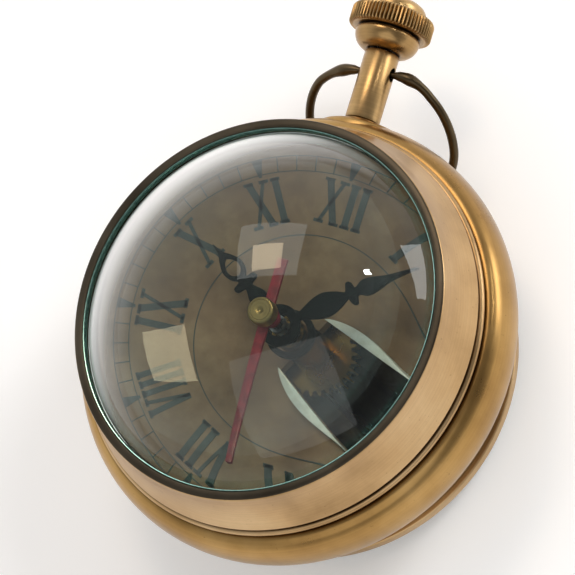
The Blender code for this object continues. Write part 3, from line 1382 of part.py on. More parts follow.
def build_pendant():
    edge = TUBE_RADIUS - CLEARANCE
    profile = [
        (TUBE_BORE, TUBE_BOTTOM),
        (TUBE_RADIUS, TUBE_BOTTOM),
        (TUBE_RADIUS, TUBE_TOP - CLEARANCE),
        (edge, TUBE_TOP),
        (TUBE_BORE, TUBE_TOP),
    ]
    pendant = place("pendant_tube", turned(profile, 24, True), brass, z=MID_PLANE, turn=along_y)
    half = BOW_SLOT_WIDTH / 2
    straight = BOW_SLOT_LENGTH / 2 - half
    slot = moved(arc(half, 0.0, math.pi, 6), 0.0, straight)
    slot += moved(arc(half, math.pi, math.tau, 6), 0.0, -straight)
    reach = TUBE_RADIUS + OVERRUN
    slot_cut = prism(slot, [], -reach, reach)
    lie = (math.pi / 2, 0.0, math.pi / 2)
    hole = place("bow_slot", slot_cut, brass, 0.0, BOW_PIVOT_Y, MID_PLANE, lie)
    hole.rotation_euler = (0.0, math.pi / 2, 0.0)
    cut(pendant, hole)


def bow_route():
    """Half of the bow's middle line as (x, drop) points, from its pin to the foot of the loop."""
    points = [(BOW_PIN_TIP, 0.0, BOW_PIN), (BOW_SHOULDER - RUN * 3, 0.0, BOW_PIN)]
    points.append((BOW_SHOULDER - RUN * 2, 0.0, BOW_WIRE))
    reach = BOW_HALF_WIDTH - BOW_SHOULDER
    steps = 8
    for step in range(steps):
        angle = math.pi / 2 * step / steps
        x = BOW_SHOULDER + reach * math.sin(angle)
        points.append((x, BOW_DROP * (1 - math.cos(angle)), BOW_WIRE))
    for step in range(steps + 1):
        angle = math.pi / 2 * step / steps
        x = BOW_HALF_WIDTH * math.cos(angle)
        points.append((x, BOW_DROP + BOW_HALF_WIDTH * math.sin(angle), BOW_WIRE))
    return points


def build_bow():
    right = bow_route()
    left = [(-x, drop, wire) for x, drop, wire in reversed(right[:-1])]
    curve = bpy.data.curves.new("bow", "CURVE")
    curve.dimensions = "3D"
    curve.bevel_depth = BOW_WIRE
    curve.bevel_resolution = 2
    curve.use_fill_caps = True
    curve.materials.append(dark_brass)
    route = right + left
    line = curve.splines.new("POLY")
    line.points.add(len(route) - 1)
    for point, (x, drop, wire) in zip(line.points, route):
        y = -drop * math.cos(BOW_ANGLE)
        z = -drop * math.sin(BOW_ANGLE)
        point.co = (x, y, z, 1.0)
        point.radius = wire / BOW_WIRE
    bow = bpy.data.objects.new("bow", curve)
    bpy.context.scene.collection.objects.link(bow)
    bow.parent = clock
    bow.location = (0.0, BOW_PIVOT_Y, MID_PLANE)


def build_crown():
    bell = []
    steps = 5
    neck = TUBE_RADIUS + RUN
    for step in range(steps + 1):
        angle = math.pi / 2 * step / steps
        radius = neck + (BELL_RADIUS - neck) * math.sin(angle)
        bell.append((radius, BELL_BOTTOM + BELL_HEIGHT * (1 - math.cos(angle))))
    root = HEAD_RADIUS - KNURL_DEPTH
    lower_edge = HEAD_HEIGHT * KNURL_EDGE_SHARE
    dome = [(CAP_RADIUS * across, HEAD_TOP + CAP_HEIGHT * up) for across, up in CAP_DOME_SHARES]
    profile = [
        (CROWN_BORE, BELL_BOTTOM),
        *bell,
        (BELL_RADIUS - RUN, BELL_BOTTOM + BELL_HEIGHT + RUN),
        (BELL_RADIUS - RUN, HEAD_BOTTOM),
        (HEAD_RADIUS - lower_edge / 2, HEAD_BOTTOM),
        (HEAD_RADIUS, HEAD_BOTTOM + lower_edge / 2),
        (HEAD_RADIUS, HEAD_BOTTOM + lower_edge),
        (root, HEAD_BOTTOM + lower_edge),
        (root, HEAD_TOP - lower_edge / 2),
        (root - lower_edge, HEAD_TOP),
        (CAP_RADIUS, HEAD_TOP),
        *dome,
        (0.0, CROWN_TOP),
    ]
    inside = [(0.0, HEAD_BOTTOM + HEAD_HEIGHT / 2), (CROWN_BORE, HEAD_BOTTOM + HEAD_HEIGHT / 2)]
    crown = place("crown", turned(inside + profile, 24, False), brass, z=MID_PLANE, turn=along_y)
    pitch = math.tau / KNURL_COUNT
    ridges = []
    start_share, end_share = KNURL_TIP_SHARES
    for ridge in range(KNURL_COUNT):
        for radius, share in ((root - RUN, 0.0), (HEAD_RADIUS, start_share), (HEAD_RADIUS, end_share)):
            angle = (ridge + share) * pitch
            ridges.append((radius * math.cos(angle), radius * math.sin(angle)))
    inner = circle(CAP_RADIUS, 24)
    knurls = prism(ridges, [inner], HEAD_BOTTOM + lower_edge - RUN, HEAD_TOP - lower_edge / 2)
    join(crown, place("knurls", knurls, brass, z=MID_PLANE, turn=along_y))

    end = HEAD_BOTTOM + HEAD_HEIGHT / 2 - CLEARANCE
    nose_tip = STEM_NOSE_START - STEM_NOSE_LENGTH
    profile = [
        (0.0, nose_tip),
        (STEM_NOSE_RADIUS, nose_tip),
        (STEM_NOSE_RADIUS, STEM_NOSE_START),
        (STEM_RADIUS, STEM_NOSE_START),
        (STEM_RADIUS, end),
        (0.0, end),
    ]
    place("winding_stem", turned(profile, 14, False), steel, z=MID_PLANE, turn=along_y)


# Height of the fork
FORK_BOTTOM = PLATE_BOTTOM - 3 * RUN - 2 * WHEEL_THICKNESS - RUN * 2

# Where the bridges stand on their pillars
BARREL_BRIDGE_TURNS = [math.radians(angle) for angle in (-8.0, 58.0, 112.0)]
TRAIN_BRIDGE_TURNS = [math.radians(angle) for angle in (158.0, 212.0, 272.0)]

# Outlines of the hands: share of the length, share of half the width
HOUR_SHAPE_SHARES = (
    (0.26, 0.42),
    (0.42, 0.62),
    (0.50, 0.38),
    (0.54, 0.34),
    (0.56, 0.86),
    (0.60, 0.86),
    (0.62, 0.36),
    (0.68, 0.72),
    (0.76, 0.80),
    (0.84, 0.50),
    (0.90, 0.16),
)
DROP_SHARES = (
    (0.66, 0.0),
    (0.69, 0.38),
    (0.75, 0.48),
    (0.81, 0.26),
    (0.84, 0.0),
    (0.81, -0.26),
    (0.75, -0.48),
    (0.69, -0.38),
)
MINUTE_SHAPE_SHARES = (
    (0.18, 0.40),
    (0.26, 0.84),
    (0.34, 0.98),
    (0.43, 0.60),
    (0.48, 0.34),
    (0.50, 0.92),
    (0.53, 0.92),
    (0.55, 0.34),
    (0.61, 0.66),
    (0.68, 0.62),
    (0.78, 0.22),
    (0.90, 0.12),
)

along_y = (-math.pi / 2, 0.0, 0.0)

clear_scene()
brass = make_material("antique brass", (0.50, 0.30, 0.09), 0.32, 1.0)
dark_brass = make_material("dark brass", (0.16, 0.11, 0.06), 0.38, 1.0)
pale_brass = make_material("pale brass", (0.62, 0.53, 0.26), 0.35, 1.0)
plate_metal = make_material("plate metal", (0.45, 0.33, 0.16), 0.35, 1.0)
bridge_metal = make_material("bridge metal", (0.55, 0.45, 0.28), 0.30, 1.0)
steel = make_material("steel", (0.50, 0.50, 0.50), 0.28, 1.0)
blued_steel = make_material("blued steel", (0.05, 0.09, 0.30), 0.25, 1.0)
black_steel = make_material("black steel", (0.015, 0.018, 0.020), 0.40, 0.5)
red_paint = make_material("red paint", (0.27, 0.02, 0.03), 0.35, 0.0)
dial_paint = make_material("aged dial", (0.30, 0.20, 0.12), 0.60, 0.0)
lens_glass = make_material("lens glass", (0.90, 0.98, 0.96), 0.02, 0.0, 1.0)

clock = bpy.data.objects.new("clock", None)
bpy.context.scene.collection.objects.link(clock)
clock.location = (0.0, AXIS_Y, 0.0)

build_case_band()
build_front_bezel()
build_rear_bezel()
build_lens()
build_rear_glass()
build_movement_ring()
build_dial()
build_main_plate()
build_bridges()
build_balance_cock()
build_screws()
build_train()
build_escapement()
build_balance()
build_winding()
build_motion_work()
build_hands()
build_pendant()
build_bow()
build_crown()
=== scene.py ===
import math

import bpy
from mathutils import Matrix, Vector


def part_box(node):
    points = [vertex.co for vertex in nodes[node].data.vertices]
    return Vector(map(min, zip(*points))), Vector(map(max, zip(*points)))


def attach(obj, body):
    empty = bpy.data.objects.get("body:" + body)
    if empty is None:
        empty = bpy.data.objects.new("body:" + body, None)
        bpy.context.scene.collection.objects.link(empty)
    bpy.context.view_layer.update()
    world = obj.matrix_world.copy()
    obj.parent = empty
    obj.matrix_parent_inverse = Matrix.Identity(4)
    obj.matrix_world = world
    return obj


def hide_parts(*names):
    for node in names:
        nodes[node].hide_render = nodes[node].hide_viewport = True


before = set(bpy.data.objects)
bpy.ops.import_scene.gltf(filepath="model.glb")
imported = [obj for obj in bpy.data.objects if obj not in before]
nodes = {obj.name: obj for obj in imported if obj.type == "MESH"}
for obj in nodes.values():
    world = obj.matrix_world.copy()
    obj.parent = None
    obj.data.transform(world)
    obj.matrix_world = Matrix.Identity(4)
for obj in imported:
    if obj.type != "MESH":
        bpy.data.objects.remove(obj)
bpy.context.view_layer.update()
print("frame loaded")

mm = 0.001
axisY = -0.0104  # the clock's own axis in the row frame
midZ = 0.0186  # the plane that halves the case


# colours are written as sRGB hex and turned to linear here
def hexColour(text):
    values = []
    for start in (0, 2, 4):
        part = int(text[start:start + 2], 16) / 255
        values.append(part / 12.92 if part <= 0.04045 else ((part + 0.055) / 1.055) ** 2.4)
    return (*values, 1.0)


def addNode(tree, kind, settings=None, links=None):
    node = tree.nodes.new(kind)
    for key, value in (settings or {}).items():
        if isinstance(key, int) or key in node.inputs:
            node.inputs[key].default_value = value
        else:
            setattr(node, key, value)
    for key, source in (links or {}).items():
        tree.links.new(source, node.inputs[key])
    return node


def newMaterial(name):
    material = bpy.data.materials.new(name)
    material.use_nodes = True
    return material, material.node_tree, material.node_tree.nodes["Principled BSDF"]


def ramp(tree, source, stops):
    node = addNode(tree, "ShaderNodeValToRGB", links={"Fac": source})
    elements = node.color_ramp.elements
    while len(elements) < len(stops):
        elements.new(0.5)
    for element, (position, colour) in zip(elements, stops):
        element.position = position
        element.color = hexColour(colour) if isinstance(colour, str) else (colour, colour, colour, 1.0)
    return node.outputs["Color"]


def inMillimetres(tree, offset=(0.0, 0.0, 0.0)):
    place = addNode(tree, "ShaderNodeTexCoord")
    scaled = addNode(tree, "ShaderNodeMapping", {"Location": offset, "Scale": (1000.0, 1000.0, 1000.0)},
                     {"Vector": place.outputs["Object"]})
    return scaled.outputs["Vector"]


# distance from an axis and height along it, so that a pattern runs in rings round that axis
def aroundAxis(tree, axis):
    offset = (0.0, -axisY * 1000, 0.0) if axis == "z" else (0.0, 0.0, -midZ * 1000)
    place = inMillimetres(tree, offset)
    flat = (1.0, 1.0, 0.0) if axis == "z" else (1.0, 0.0, 1.0)
    across = addNode(tree, "ShaderNodeVectorMath", {"operation": "MULTIPLY", 1: flat}, {0: place})
    radius = addNode(tree, "ShaderNodeVectorMath", {"operation": "LENGTH"}, {0: across.outputs["Vector"]})
    parts = addNode(tree, "ShaderNodeSeparateXYZ", links={"Vector": place})
    height = parts.outputs["Z" if axis == "z" else "Y"]
    joined = addNode(tree, "ShaderNodeCombineXYZ", links={"X": radius.outputs["Value"], "Y": height})
    return place, joined.outputs["Vector"]


# lathe turned brass, lacquer worn off: golden where it is handled, brown where it isn't
def turnedBrass(name, bright, mid, dark, axis="z", roughness=0.27, lineDepth=0.012):
    material, tree, shader = newMaterial(name)
    place, rings = aroundAxis(tree, axis)
    patina = addNode(tree, "ShaderNodeTexNoise", {"Scale": 0.06, "Detail": 7.0, "Roughness": 0.55},
                     {"Vector": place})
    colour = ramp(tree, patina.outputs["Fac"], [(0.25, dark), (0.50, mid), (0.75, bright)])
    # turning lines 0.3 mm apart, coarser than real ones so that they show
    lines = addNode(tree, "ShaderNodeTexNoise", {"Scale": 3.2, "Detail": 3.0, "Roughness": 0.75},
                    {"Vector": rings})
    lineShade = ramp(tree, lines.outputs["Fac"], [(0.32, 0.72), (0.68, 1.0)])
    lined = addNode(tree, "ShaderNodeMix", {"data_type": "RGBA", "blend_type": "MULTIPLY", 0: 0.6},
                    {6: colour, 7: lineShade})
    # specks of tarnish about 0.3 mm across
    specks = addNode(tree, "ShaderNodeTexNoise", {"Scale": 2.2, "Detail": 2.0}, {"Vector": place})
    speckMask = ramp(tree, specks.outputs["Fac"], [(0.70, 0.0), (0.78, 0.45)])
    specked = addNode(tree, "ShaderNodeMix", {"data_type": "RGBA", 7: hexColour("4A3216")},
                      {0: speckMask, 6: lined.outputs[2]})
    # painted shade: the colour darkens in the grooves, where the ambient occlusion node finds them enclosed
    crease = addNode(tree, "ShaderNodeAmbientOcclusion", {"Distance": 0.0012, "samples": 6})
    grooveShadeMask = ramp(tree, crease.outputs["AO"], [(0.25, 0.85), (0.85, 0.0)])
    grooveShaded = addNode(tree, "ShaderNodeMix", {"data_type": "RGBA", 7: hexColour("2A1C0C")},
                    {0: grooveShadeMask, 6: specked.outputs[2]})
    tree.links.new(grooveShaded.outputs[2], shader.inputs["Base Color"])
    sheen = addNode(tree, "ShaderNodeMapRange", {"To Min": roughness - 0.07, "To Max": roughness + 0.12},
                    {"Value": patina.outputs["Fac"]})
    tree.links.new(sheen.outputs["Result"], shader.inputs["Roughness"])
    shader.inputs["Metallic"].default_value = 1.0
    # fine scratches in all directions over the turning lines
    scratches = addNode(tree, "ShaderNodeTexNoise",
                        {"Scale": 1.3, "Detail": 8.0, "Roughness": 0.75, "Distortion": 1.2},
                        {"Vector": place})
    both = addNode(tree, "ShaderNodeMath", {"operation": "MULTIPLY_ADD", 1: 0.5},
                   {0: scratches.outputs["Fac"], 2: lines.outputs["Fac"]})
    bump = addNode(tree, "ShaderNodeBump", {"Strength": 0.35, "Distance": lineDepth * mm},
                   {"Height": both.outputs["Value"]})
    tree.links.new(bump.outputs["Normal"], shader.inputs["Normal"])
    return material


# machined steel, ground and left bright or coloured by heat
def groundSteel(name, light, dark, roughness=0.28):
    material, tree, shader = newMaterial(name)
    place = inMillimetres(tree)
    grain = addNode(tree, "ShaderNodeTexNoise", {"Scale": 1.5, "Detail": 5.0, "Roughness": 0.7},
                    {"Vector": place})
    colour = ramp(tree, grain.outputs["Fac"], [(0.35, dark), (0.65, light)])
    tree.links.new(colour, shader.inputs["Base Color"])
    gloss = addNode(tree, "ShaderNodeMapRange", {"To Min": roughness - 0.08, "To Max": roughness + 0.10},
                    {"Value": grain.outputs["Fac"]})
    tree.links.new(gloss.outputs["Result"], shader.inputs["Roughness"])
    shader.inputs["Metallic"].default_value = 1.0
    bump = addNode(tree, "ShaderNodeBump", {"Strength": 0.2, "Distance": 0.01 * mm},
                   {"Height": grain.outputs["Fac"]})
    tree.links.new(bump.outputs["Normal"], shader.inputs["Normal"])
    return material


# plate brass with the swirls of a spotting tool, 1.2 mm across
def spottedBrass(name, light, dark):
    material, tree, shader = newMaterial(name)
    place = inMillimetres(tree)
    swirls = addNode(tree, "ShaderNodeTexVoronoi", {"Scale": 0.8, "Randomness": 0.35}, {"Vector": place})
    rings = addNode(tree, "ShaderNodeMath", {"operation": "SINE"},
                    {0: addNode(tree, "ShaderNodeMath", {"operation": "MULTIPLY", 1: 30.0},
                                {0: swirls.outputs["Distance"]}).outputs["Value"]})
    colour = ramp(tree, swirls.outputs["Distance"], [(0.0, light), (0.8, dark)])
    tree.links.new(colour, shader.inputs["Base Color"])
    shader.inputs["Metallic"].default_value = 1.0
    shader.inputs["Roughness"].default_value = 0.30
    bump = addNode(tree, "ShaderNodeBump", {"Strength": 0.25, "Distance": 0.01 * mm},
                   {"Height": rings.outputs["Value"]})
    tree.links.new(bump.outputs["Normal"], shader.inputs["Normal"])
    return material


# dial card, tanned by age, with soft stains and a fine fibre
def agedDialCard(name):
    material, tree, shader = newMaterial(name)
    place = inMillimetres(tree)
    stains = addNode(tree, "ShaderNodeTexNoise", {"Scale": 0.16, "Detail": 5.0, "Roughness": 0.62},
                     {"Vector": place})
    colour = ramp(tree, stains.outputs["Fac"], [(0.28, "614633"), (0.50, "785B43"), (0.72, "8E7054")])
    fibre = addNode(tree, "ShaderNodeTexNoise", {"Scale": 4.0, "Detail": 4.0, "Roughness": 0.8},
                    {"Vector": place})
    fibreShade = ramp(tree, fibre.outputs["Fac"], [(0.35, 0.82), (0.62, 1.0)])
    mixed = addNode(tree, "ShaderNodeMix", {"data_type": "RGBA", "blend_type": "MULTIPLY", 0: 0.6},
                    {6: colour, 7: fibreShade})
    tree.links.new(mixed.outputs[2], shader.inputs["Base Color"])
    shader.inputs["Roughness"].default_value = 0.62
    shader.inputs["Specular IOR Level"].default_value = 0.3
    bump = addNode(tree, "ShaderNodeBump", {"Strength": 0.25, "Distance": 0.02 * mm},
                   {"Height": fibre.outputs["Fac"]})
    tree.links.new(bump.outputs["Normal"], shader.inputs["Normal"])
    return material


# printed ink or brushed enamel: a little uneven, with a soft gloss
def evenPaint(name, light, dark, roughness, metallic=0.0):
    material, tree, shader = newMaterial(name)
    place = inMillimetres(tree)
    cloud = addNode(tree, "ShaderNodeTexNoise", {"Scale": 0.9, "Detail": 5.0, "Roughness": 0.7},
                    {"Vector": place})
    colour = ramp(tree, cloud.outputs["Fac"], [(0.35, dark), (0.65, light)])
    tree.links.new(colour, shader.inputs["Base Color"])
    shader.inputs["Roughness"].default_value = roughness
    shader.inputs["Metallic"].default_value = metallic
    bump = addNode(tree, "ShaderNodeBump", {"Strength": 0.15, "Distance": 0.01 * mm},
                   {"Height": cloud.outputs["Fac"]})
    tree.links.new(bump.outputs["Normal"], shader.inputs["Normal"])
    return material


# cast crown glass, polished: clear, with a green edge; light passes it without a dark shadow
def castGlass(name, tint, edgeTint, grazingWhite=0.0):
    material, tree, shader = newMaterial(name)
    tree.nodes.remove(shader)
    out = tree.nodes["Material Output"]
    place = inMillimetres(tree)
    cloud = addNode(tree, "ShaderNodeTexNoise", {"Scale": 0.05, "Detail": 2.0}, {"Vector": place})
    colour = ramp(tree, cloud.outputs["Fac"], [(0.3, tint), (0.7, edgeTint)])
    glass = addNode(tree, "ShaderNodeBsdfGlass", {"Roughness": 0.0, "IOR": 1.5}, {"Color": colour})
    surface = glass.outputs["BSDF"]
    if grazingWhite:
        # painted reflection: a white diffuse layer is mixed into the glass where it is seen at a grazing
        # angle, for the bright room mirrored there
        graze = addNode(tree, "ShaderNodeLayerWeight", {"Blend": 0.5})
        paintedVeilMask = ramp(tree, graze.outputs["Facing"], [(0.42, 0.0), (0.58, 0.18), (0.70, 0.62), (0.78, grazingWhite)])
        paintedReflection = addNode(tree, "ShaderNodeBsdfDiffuse", {"Color": hexColour("FFFFFF")})
        withPaintedReflection = addNode(tree, "ShaderNodeMixShader", links={0: paintedVeilMask, 1: surface, 2: paintedReflection.outputs["BSDF"]})
        surface = withPaintedReflection.outputs["Shader"]
    clear = addNode(tree, "ShaderNodeBsdfTransparent", {"Color": hexColour("E8F4F0")})
    rays = addNode(tree, "ShaderNodeLightPath")
    mix = addNode(tree, "ShaderNodeMixShader",
                  links={0: rays.outputs["Is Shadow Ray"], 1: surface, 2: clear.outputs["BSDF"]})
    tree.links.new(mix.outputs["Shader"], out.inputs["Surface"])
    return material


caseBrass = turnedBrass("turnedCaseBrass", "CBA56B", "B08A52", "856339")
bezelBrass = turnedBrass("turnedBezelBrass", "D9BA8E", "C4A173", "9C7C54", roughness=0.30)
crownBrass = turnedBrass("turnedCrownBrass", "D6B584", "BC9865", "87673D", axis="y", roughness=0.27)
rimBrass = turnedBrass("darkRimBrass", "625A4D", "4D463B", "383229", roughness=0.36)
bowBrass = turnedBrass("handledBowBrass", "7D6B50", "60523D", "3C3225", axis="y", roughness=0.32)
innerBrass = turnedBrass("darkInnerBrass", "4A3823", "33261A", "1F1812", roughness=0.34)
capBrass = turnedBrass("paleCapBrass", "DCC48E", "B89F6A", "7F6B40", roughness=0.34)
wheelBrass = turnedBrass("cutWheelBrass", "D9B873", "C39A52", "8F6C34", roughness=0.26)
plateBrass = spottedBrass("spottedPlateBrass", "9C8458", "6F5A38")
brightSteel = groundSteel("groundSteel", "C9CBCC", "8E9294")
# silvered brass, pale beside the dial and the dark movement, and painted near white for the bright
# highlight streaks along the opening's edges
openingEdge = evenPaint("openingEdgePaintedHighlight", "F6F2E8", "E2DCCD", 0.22, 0.35)
# the ring that holds the lens, polished, with the green light from the edge of the glass beside it painted
# into its colour
ringBrass = groundSteel("lensRingPaintedGlassGlow", "A9CFC6", "86B3A9", 0.20)
# the main plate is seen only through the opening, deep under the dial: its brass is painted dark as shade
shadeDarkPlate = spottedBrass("plateBrassPaintedShade", "4C4230", "332B1F")
bluedSteel = groundSteel("bluedScrewSteel", "3450A0", "1D2C66", 0.22)
blackSteel = groundSteel("blackenedHandSteel", "1B2322", "0F1415", 0.44)
redEnamel = evenPaint("redHandEnamel", "8E1B28", "6A121D", 0.34)
dialInk = evenPaint("greyPrintedInk", "323B39", "222A29", 0.6)
dialCard = agedDialCard("agedDialCard")
# the last value is the strength of the painted reflection where the dome is seen at a grazing angle
lensGlass = castGlass("polishedLensGlass", "FCFFFE", "F4FCFA", 0.9)
rearGlassMaterial = castGlass("thickRearGlass", "E6F5F1", "D2ECE5")
print("materials ready")


def startClean():
    if bpy.context.object and bpy.context.object.mode != "OBJECT":
        bpy.ops.object.mode_set(mode="OBJECT")
    bpy.ops.object.select_all(action="DESELECT")


def applyModifiers(piece):
    bpy.context.view_layer.objects.active = piece
    for modifier in list(piece.modifiers):
        bpy.ops.object.modifier_apply(modifier=modifier.name)


def settle(piece, name, material, smoothAngle=38.0):
    startClean()
    piece.select_set(True)
    bpy.context.view_layer.objects.active = piece
    bpy.ops.object.transform_apply(location=True, rotation=True, scale=True)
    piece.name = name
    piece.data.name = name
    piece.data.materials.clear()
    piece.data.materials.append(material)
    bpy.ops.object.shade_smooth_by_angle(angle=math.radians(smoothAngle))
    return piece


def arcPoints(centreR, centreH, radius, start, end, steps):
    points = []
    for step in range(steps + 1):
        angle = math.radians(start + (end - start) * step / steps)
        points.append((centreR + radius * math.cos(angle), centreH + radius * math.sin(angle)))
    return points


# one vertex is extruded along a profile in millimetres, then spun round the clock's axis or the crown's
def turnPiece(name, profile, material, axis="z", steps=160, edge=0.0, smoothAngle=38.0):
    startClean()
    radius, height = profile[0]
    start = (radius * mm, axisY, height * mm) if axis == "z" else (radius * mm, axisY + height * mm, midZ)
    bpy.ops.mesh.primitive_plane_add(size=mm, location=start)
    piece = bpy.context.object
    bpy.ops.object.mode_set(mode="EDIT")
    bpy.ops.mesh.select_all(action="SELECT")
    bpy.ops.mesh.merge(type="CENTER")
    for before, after in zip(profile, profile[1:]):
        along = (after[1] - before[1]) * mm
        across = (after[0] - before[0]) * mm
        move = (across, 0.0, along) if axis == "z" else (across, along, 0.0)
        bpy.ops.mesh.extrude_region_move(TRANSFORM_OT_translate={"value": move})
    bpy.ops.mesh.select_all(action="SELECT")
    way = (0.0, 0.0, 1.0) if axis == "z" else (0.0, 1.0, 0.0)
    centre = (0.0, axisY, 0.0) if axis == "z" else (0.0, 0.0, midZ)
    bpy.ops.mesh.spin(steps=steps, angle=math.tau, center=centre, axis=way)
    bpy.ops.mesh.select_all(action="SELECT")
    bpy.ops.mesh.remove_doubles(threshold=0.002 * mm)
    bpy.ops.mesh.normals_make_consistent(inside=False)
    bpy.ops.object.mode_set(mode="OBJECT")
    if edge:
        bevel = piece.modifiers.new("edge", "BEVEL")
        bevel.width = edge * mm
        bevel.segments = 2
        bevel.limit_method = "ANGLE"
        bevel.angle_limit = math.radians(40.0)
        bevel.use_clamp_overlap = True
        applyModifiers(piece)
    return settle(piece, name, material, smoothAngle)


# a flat outline in millimetres round the clock's axis, raised to a thickness, with its holes cut out
def flatPiece(name, outline, holes, bottom, top, material, edge=0.0, turn=0.0):
    startClean()
    bpy.ops.mesh.primitive_circle_add(vertices=len(outline), radius=mm, fill_type="NGON",
                                      location=(0.0, axisY, bottom * mm))
    piece = bpy.context.object
    for vertex, (x, y) in zip(piece.data.vertices, outline):
        vertex.co = (x * mm, y * mm, 0.0)
    bpy.ops.object.mode_set(mode="EDIT")
    bpy.ops.mesh.select_all(action="SELECT")
    bpy.ops.mesh.extrude_region_move(TRANSFORM_OT_translate={"value": (0.0, 0.0, (top - bottom) * mm)})
    bpy.ops.mesh.select_all(action="SELECT")
    bpy.ops.mesh.normals_make_consistent(inside=False)
    bpy.ops.object.mode_set(mode="OBJECT")
    for hole in holes:
        cutter = flatPiece("cutter", hole, [], bottom - 1.0, top + 1.0, material)
        step = piece.modifiers.new("hole", "BOOLEAN")
        step.operation = "DIFFERENCE"
        step.solver = "EXACT"
        step.object = cutter
        startClean()
        applyModifiers(piece)
        bpy.data.objects.remove(cutter, do_unlink=True)
    if edge:
        bevel = piece.modifiers.new("edge", "BEVEL")
        bevel.width = edge * mm
        bevel.segments = 2
        bevel.limit_method = "ANGLE"
        bevel.angle_limit = math.radians(50.0)
        applyModifiers(piece)
    if turn:
        startClean()
        piece.select_set(True)
        bpy.context.view_layer.objects.active = piece
        piece.rotation_euler = (0.0, 0.0, math.radians(turn))
    return settle(piece, name, material)


def joinPieces(pieces, name):
    startClean()
    for piece in pieces:
        piece.select_set(True)
    bpy.context.view_layer.objects.active = pieces[0]
    bpy.ops.object.join()
    pieces[0].name = name
    pieces[0].data.name = name
    return pieces[0]


# case band: the belly and, at 12 o'clock, the pad that flares up to the tube
bandSettings = {"radius": 32.3, "bulge": 2.7, "halfWidth": 4.9, "padLength": 6.6, "padWidth": 4.3,
                "padTop": 3.05, "padStart": 31.6}


def buildCaseBand():
    s = bandSettings
    middle = midZ / mm
    belly = []
    for step in range(41):
        angle = math.pi * step / 40
        belly.append((s["radius"] + s["bulge"] * math.sin(angle),
                      middle - s["halfWidth"] * math.cos(angle)))
    low, high = middle - s["halfWidth"], middle + s["halfWidth"]
    profile = [(28.0, low - 2.5), (30.2, low - 2.5), (30.2, low), *belly, (30.2, high), (30.2, high + 2.5),
               (29.0, high + 2.5), (29.0, 15.8), (28.0, 15.8), (28.0, low - 2.5)]
    band = turnPiece("caseBelly", profile, caseBrass, steps=200, edge=0.06)
    # the pad: an oval ring is extruded outwards and drawn in, level by level
    startClean()
    bpy.ops.mesh.primitive_circle_add(vertices=72, radius=mm, fill_type="NGON",
                                      rotation=(-math.pi / 2, 0.0, 0.0),
                                      location=(0.0, axisY + s["padStart"] * mm, midZ))
    pad = bpy.context.object
    levels = [(1.0, 0.0), (1.0, 2.45), (0.90, 2.75), (0.76, 2.96), (0.60, 3.10), (0.45, 3.20), (0.30, 3.28),
              (0.18, 3.34), (0.08, 3.40), (0.03, 3.46), (0.0, 3.52)]
    bpy.ops.object.mode_set(mode="EDIT")
    bpy.ops.mesh.select_all(action="SELECT")
    bpy.ops.object.mode_set(mode="OBJECT")
    for vertex in pad.data.vertices:
        vertex.co = (vertex.co.x * s["padLength"], vertex.co.y * s["padWidth"], 0.0)
    bpy.ops.object.mode_set(mode="EDIT")
    bpy.ops.mesh.select_all(action="SELECT")
    size = (s["padLength"], s["padWidth"])
    centre = axisY + s["padStart"] * mm
    for before, after in zip(levels, levels[1:]):
        rise = (after[1] - before[1]) * mm
        bpy.ops.mesh.extrude_region_move(TRANSFORM_OT_translate={"value": (0.0, rise, 0.0)})
        old = [s["padTop"] + (side - s["padTop"]) * before[0] for side in size]
        new = [s["padTop"] + (side - s["padTop"]) * after[0] for side in size]
        bpy.ops.transform.resize(value=(new[0] / old[0], 1.0, new[1] / old[1]),
                                 center_override=(0.0, centre + after[1] * mm, midZ))
    bpy.ops.mesh.select_all(action="SELECT")
    bpy.ops.mesh.normals_make_consistent(inside=False)
    bpy.ops.object.mode_set(mode="OBJECT")
    pad = settle(pad, "casePad", caseBrass, 50.0)
    return joinPieces([band, pad], "caseBandShell")


caseBand = buildCaseBand()
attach(caseBand, "case")
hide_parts("case_band")
print("case band done")

# front bezel: bead, dark groove, band that sweeps in, rim and lens seat
frontSettings = {"bead": 0.55, "groove": 31.3, "foot": (31.75, 25.5), "rim": (29.6, 33.72), "sweep": 0.42}


def sweep(start, end, sag, steps):
    points = []
    for step in range(steps + 1):
        share = step / steps
        points.append((start[0] + (end[0] - start[0]) * share - sag * math.sin(math.pi * share),
                       start[1] + (end[1] - start[1]) * share))
    return points


def buildFrontBezel():
    s = frontSettings
    bead = arcPoints(31.75, 24.35, s["bead"], -90, 90, 12)
    profile = [*bead, (s["groove"], 24.9), (s["groove"], 25.42), s["foot"]]
    profile += sweep((s["foot"][0] + 0.02, 25.52), s["rim"], s["sweep"], 24)
    profile += [(29.5, 33.9), (29.3, 34.0), (28.35, 34.0), (28.2, 33.85), (28.2, 30.1), (26.6, 30.1),
                (26.6, 29.3), (28.4, 29.3), (29.0, 26.3), (30.5, 26.3), (30.5, 23.8), bead[0]]
    return turnPiece("frontBezelShell", profile, bezelBrass, steps=200, edge=0.05)


frontBezel = buildFrontBezel()
frontBezel.data.materials.append(rimBrass)
for face in frontBezel.data.polygons:  # the rim's flat face and what lies inside it are dark
    if face.center.z > 33.95 * mm or math.hypot(face.center.x, face.center.y - axisY) < 28.6 * mm:
        face.material_index = 1
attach(frontBezel, "case")
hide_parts("front_bezel")


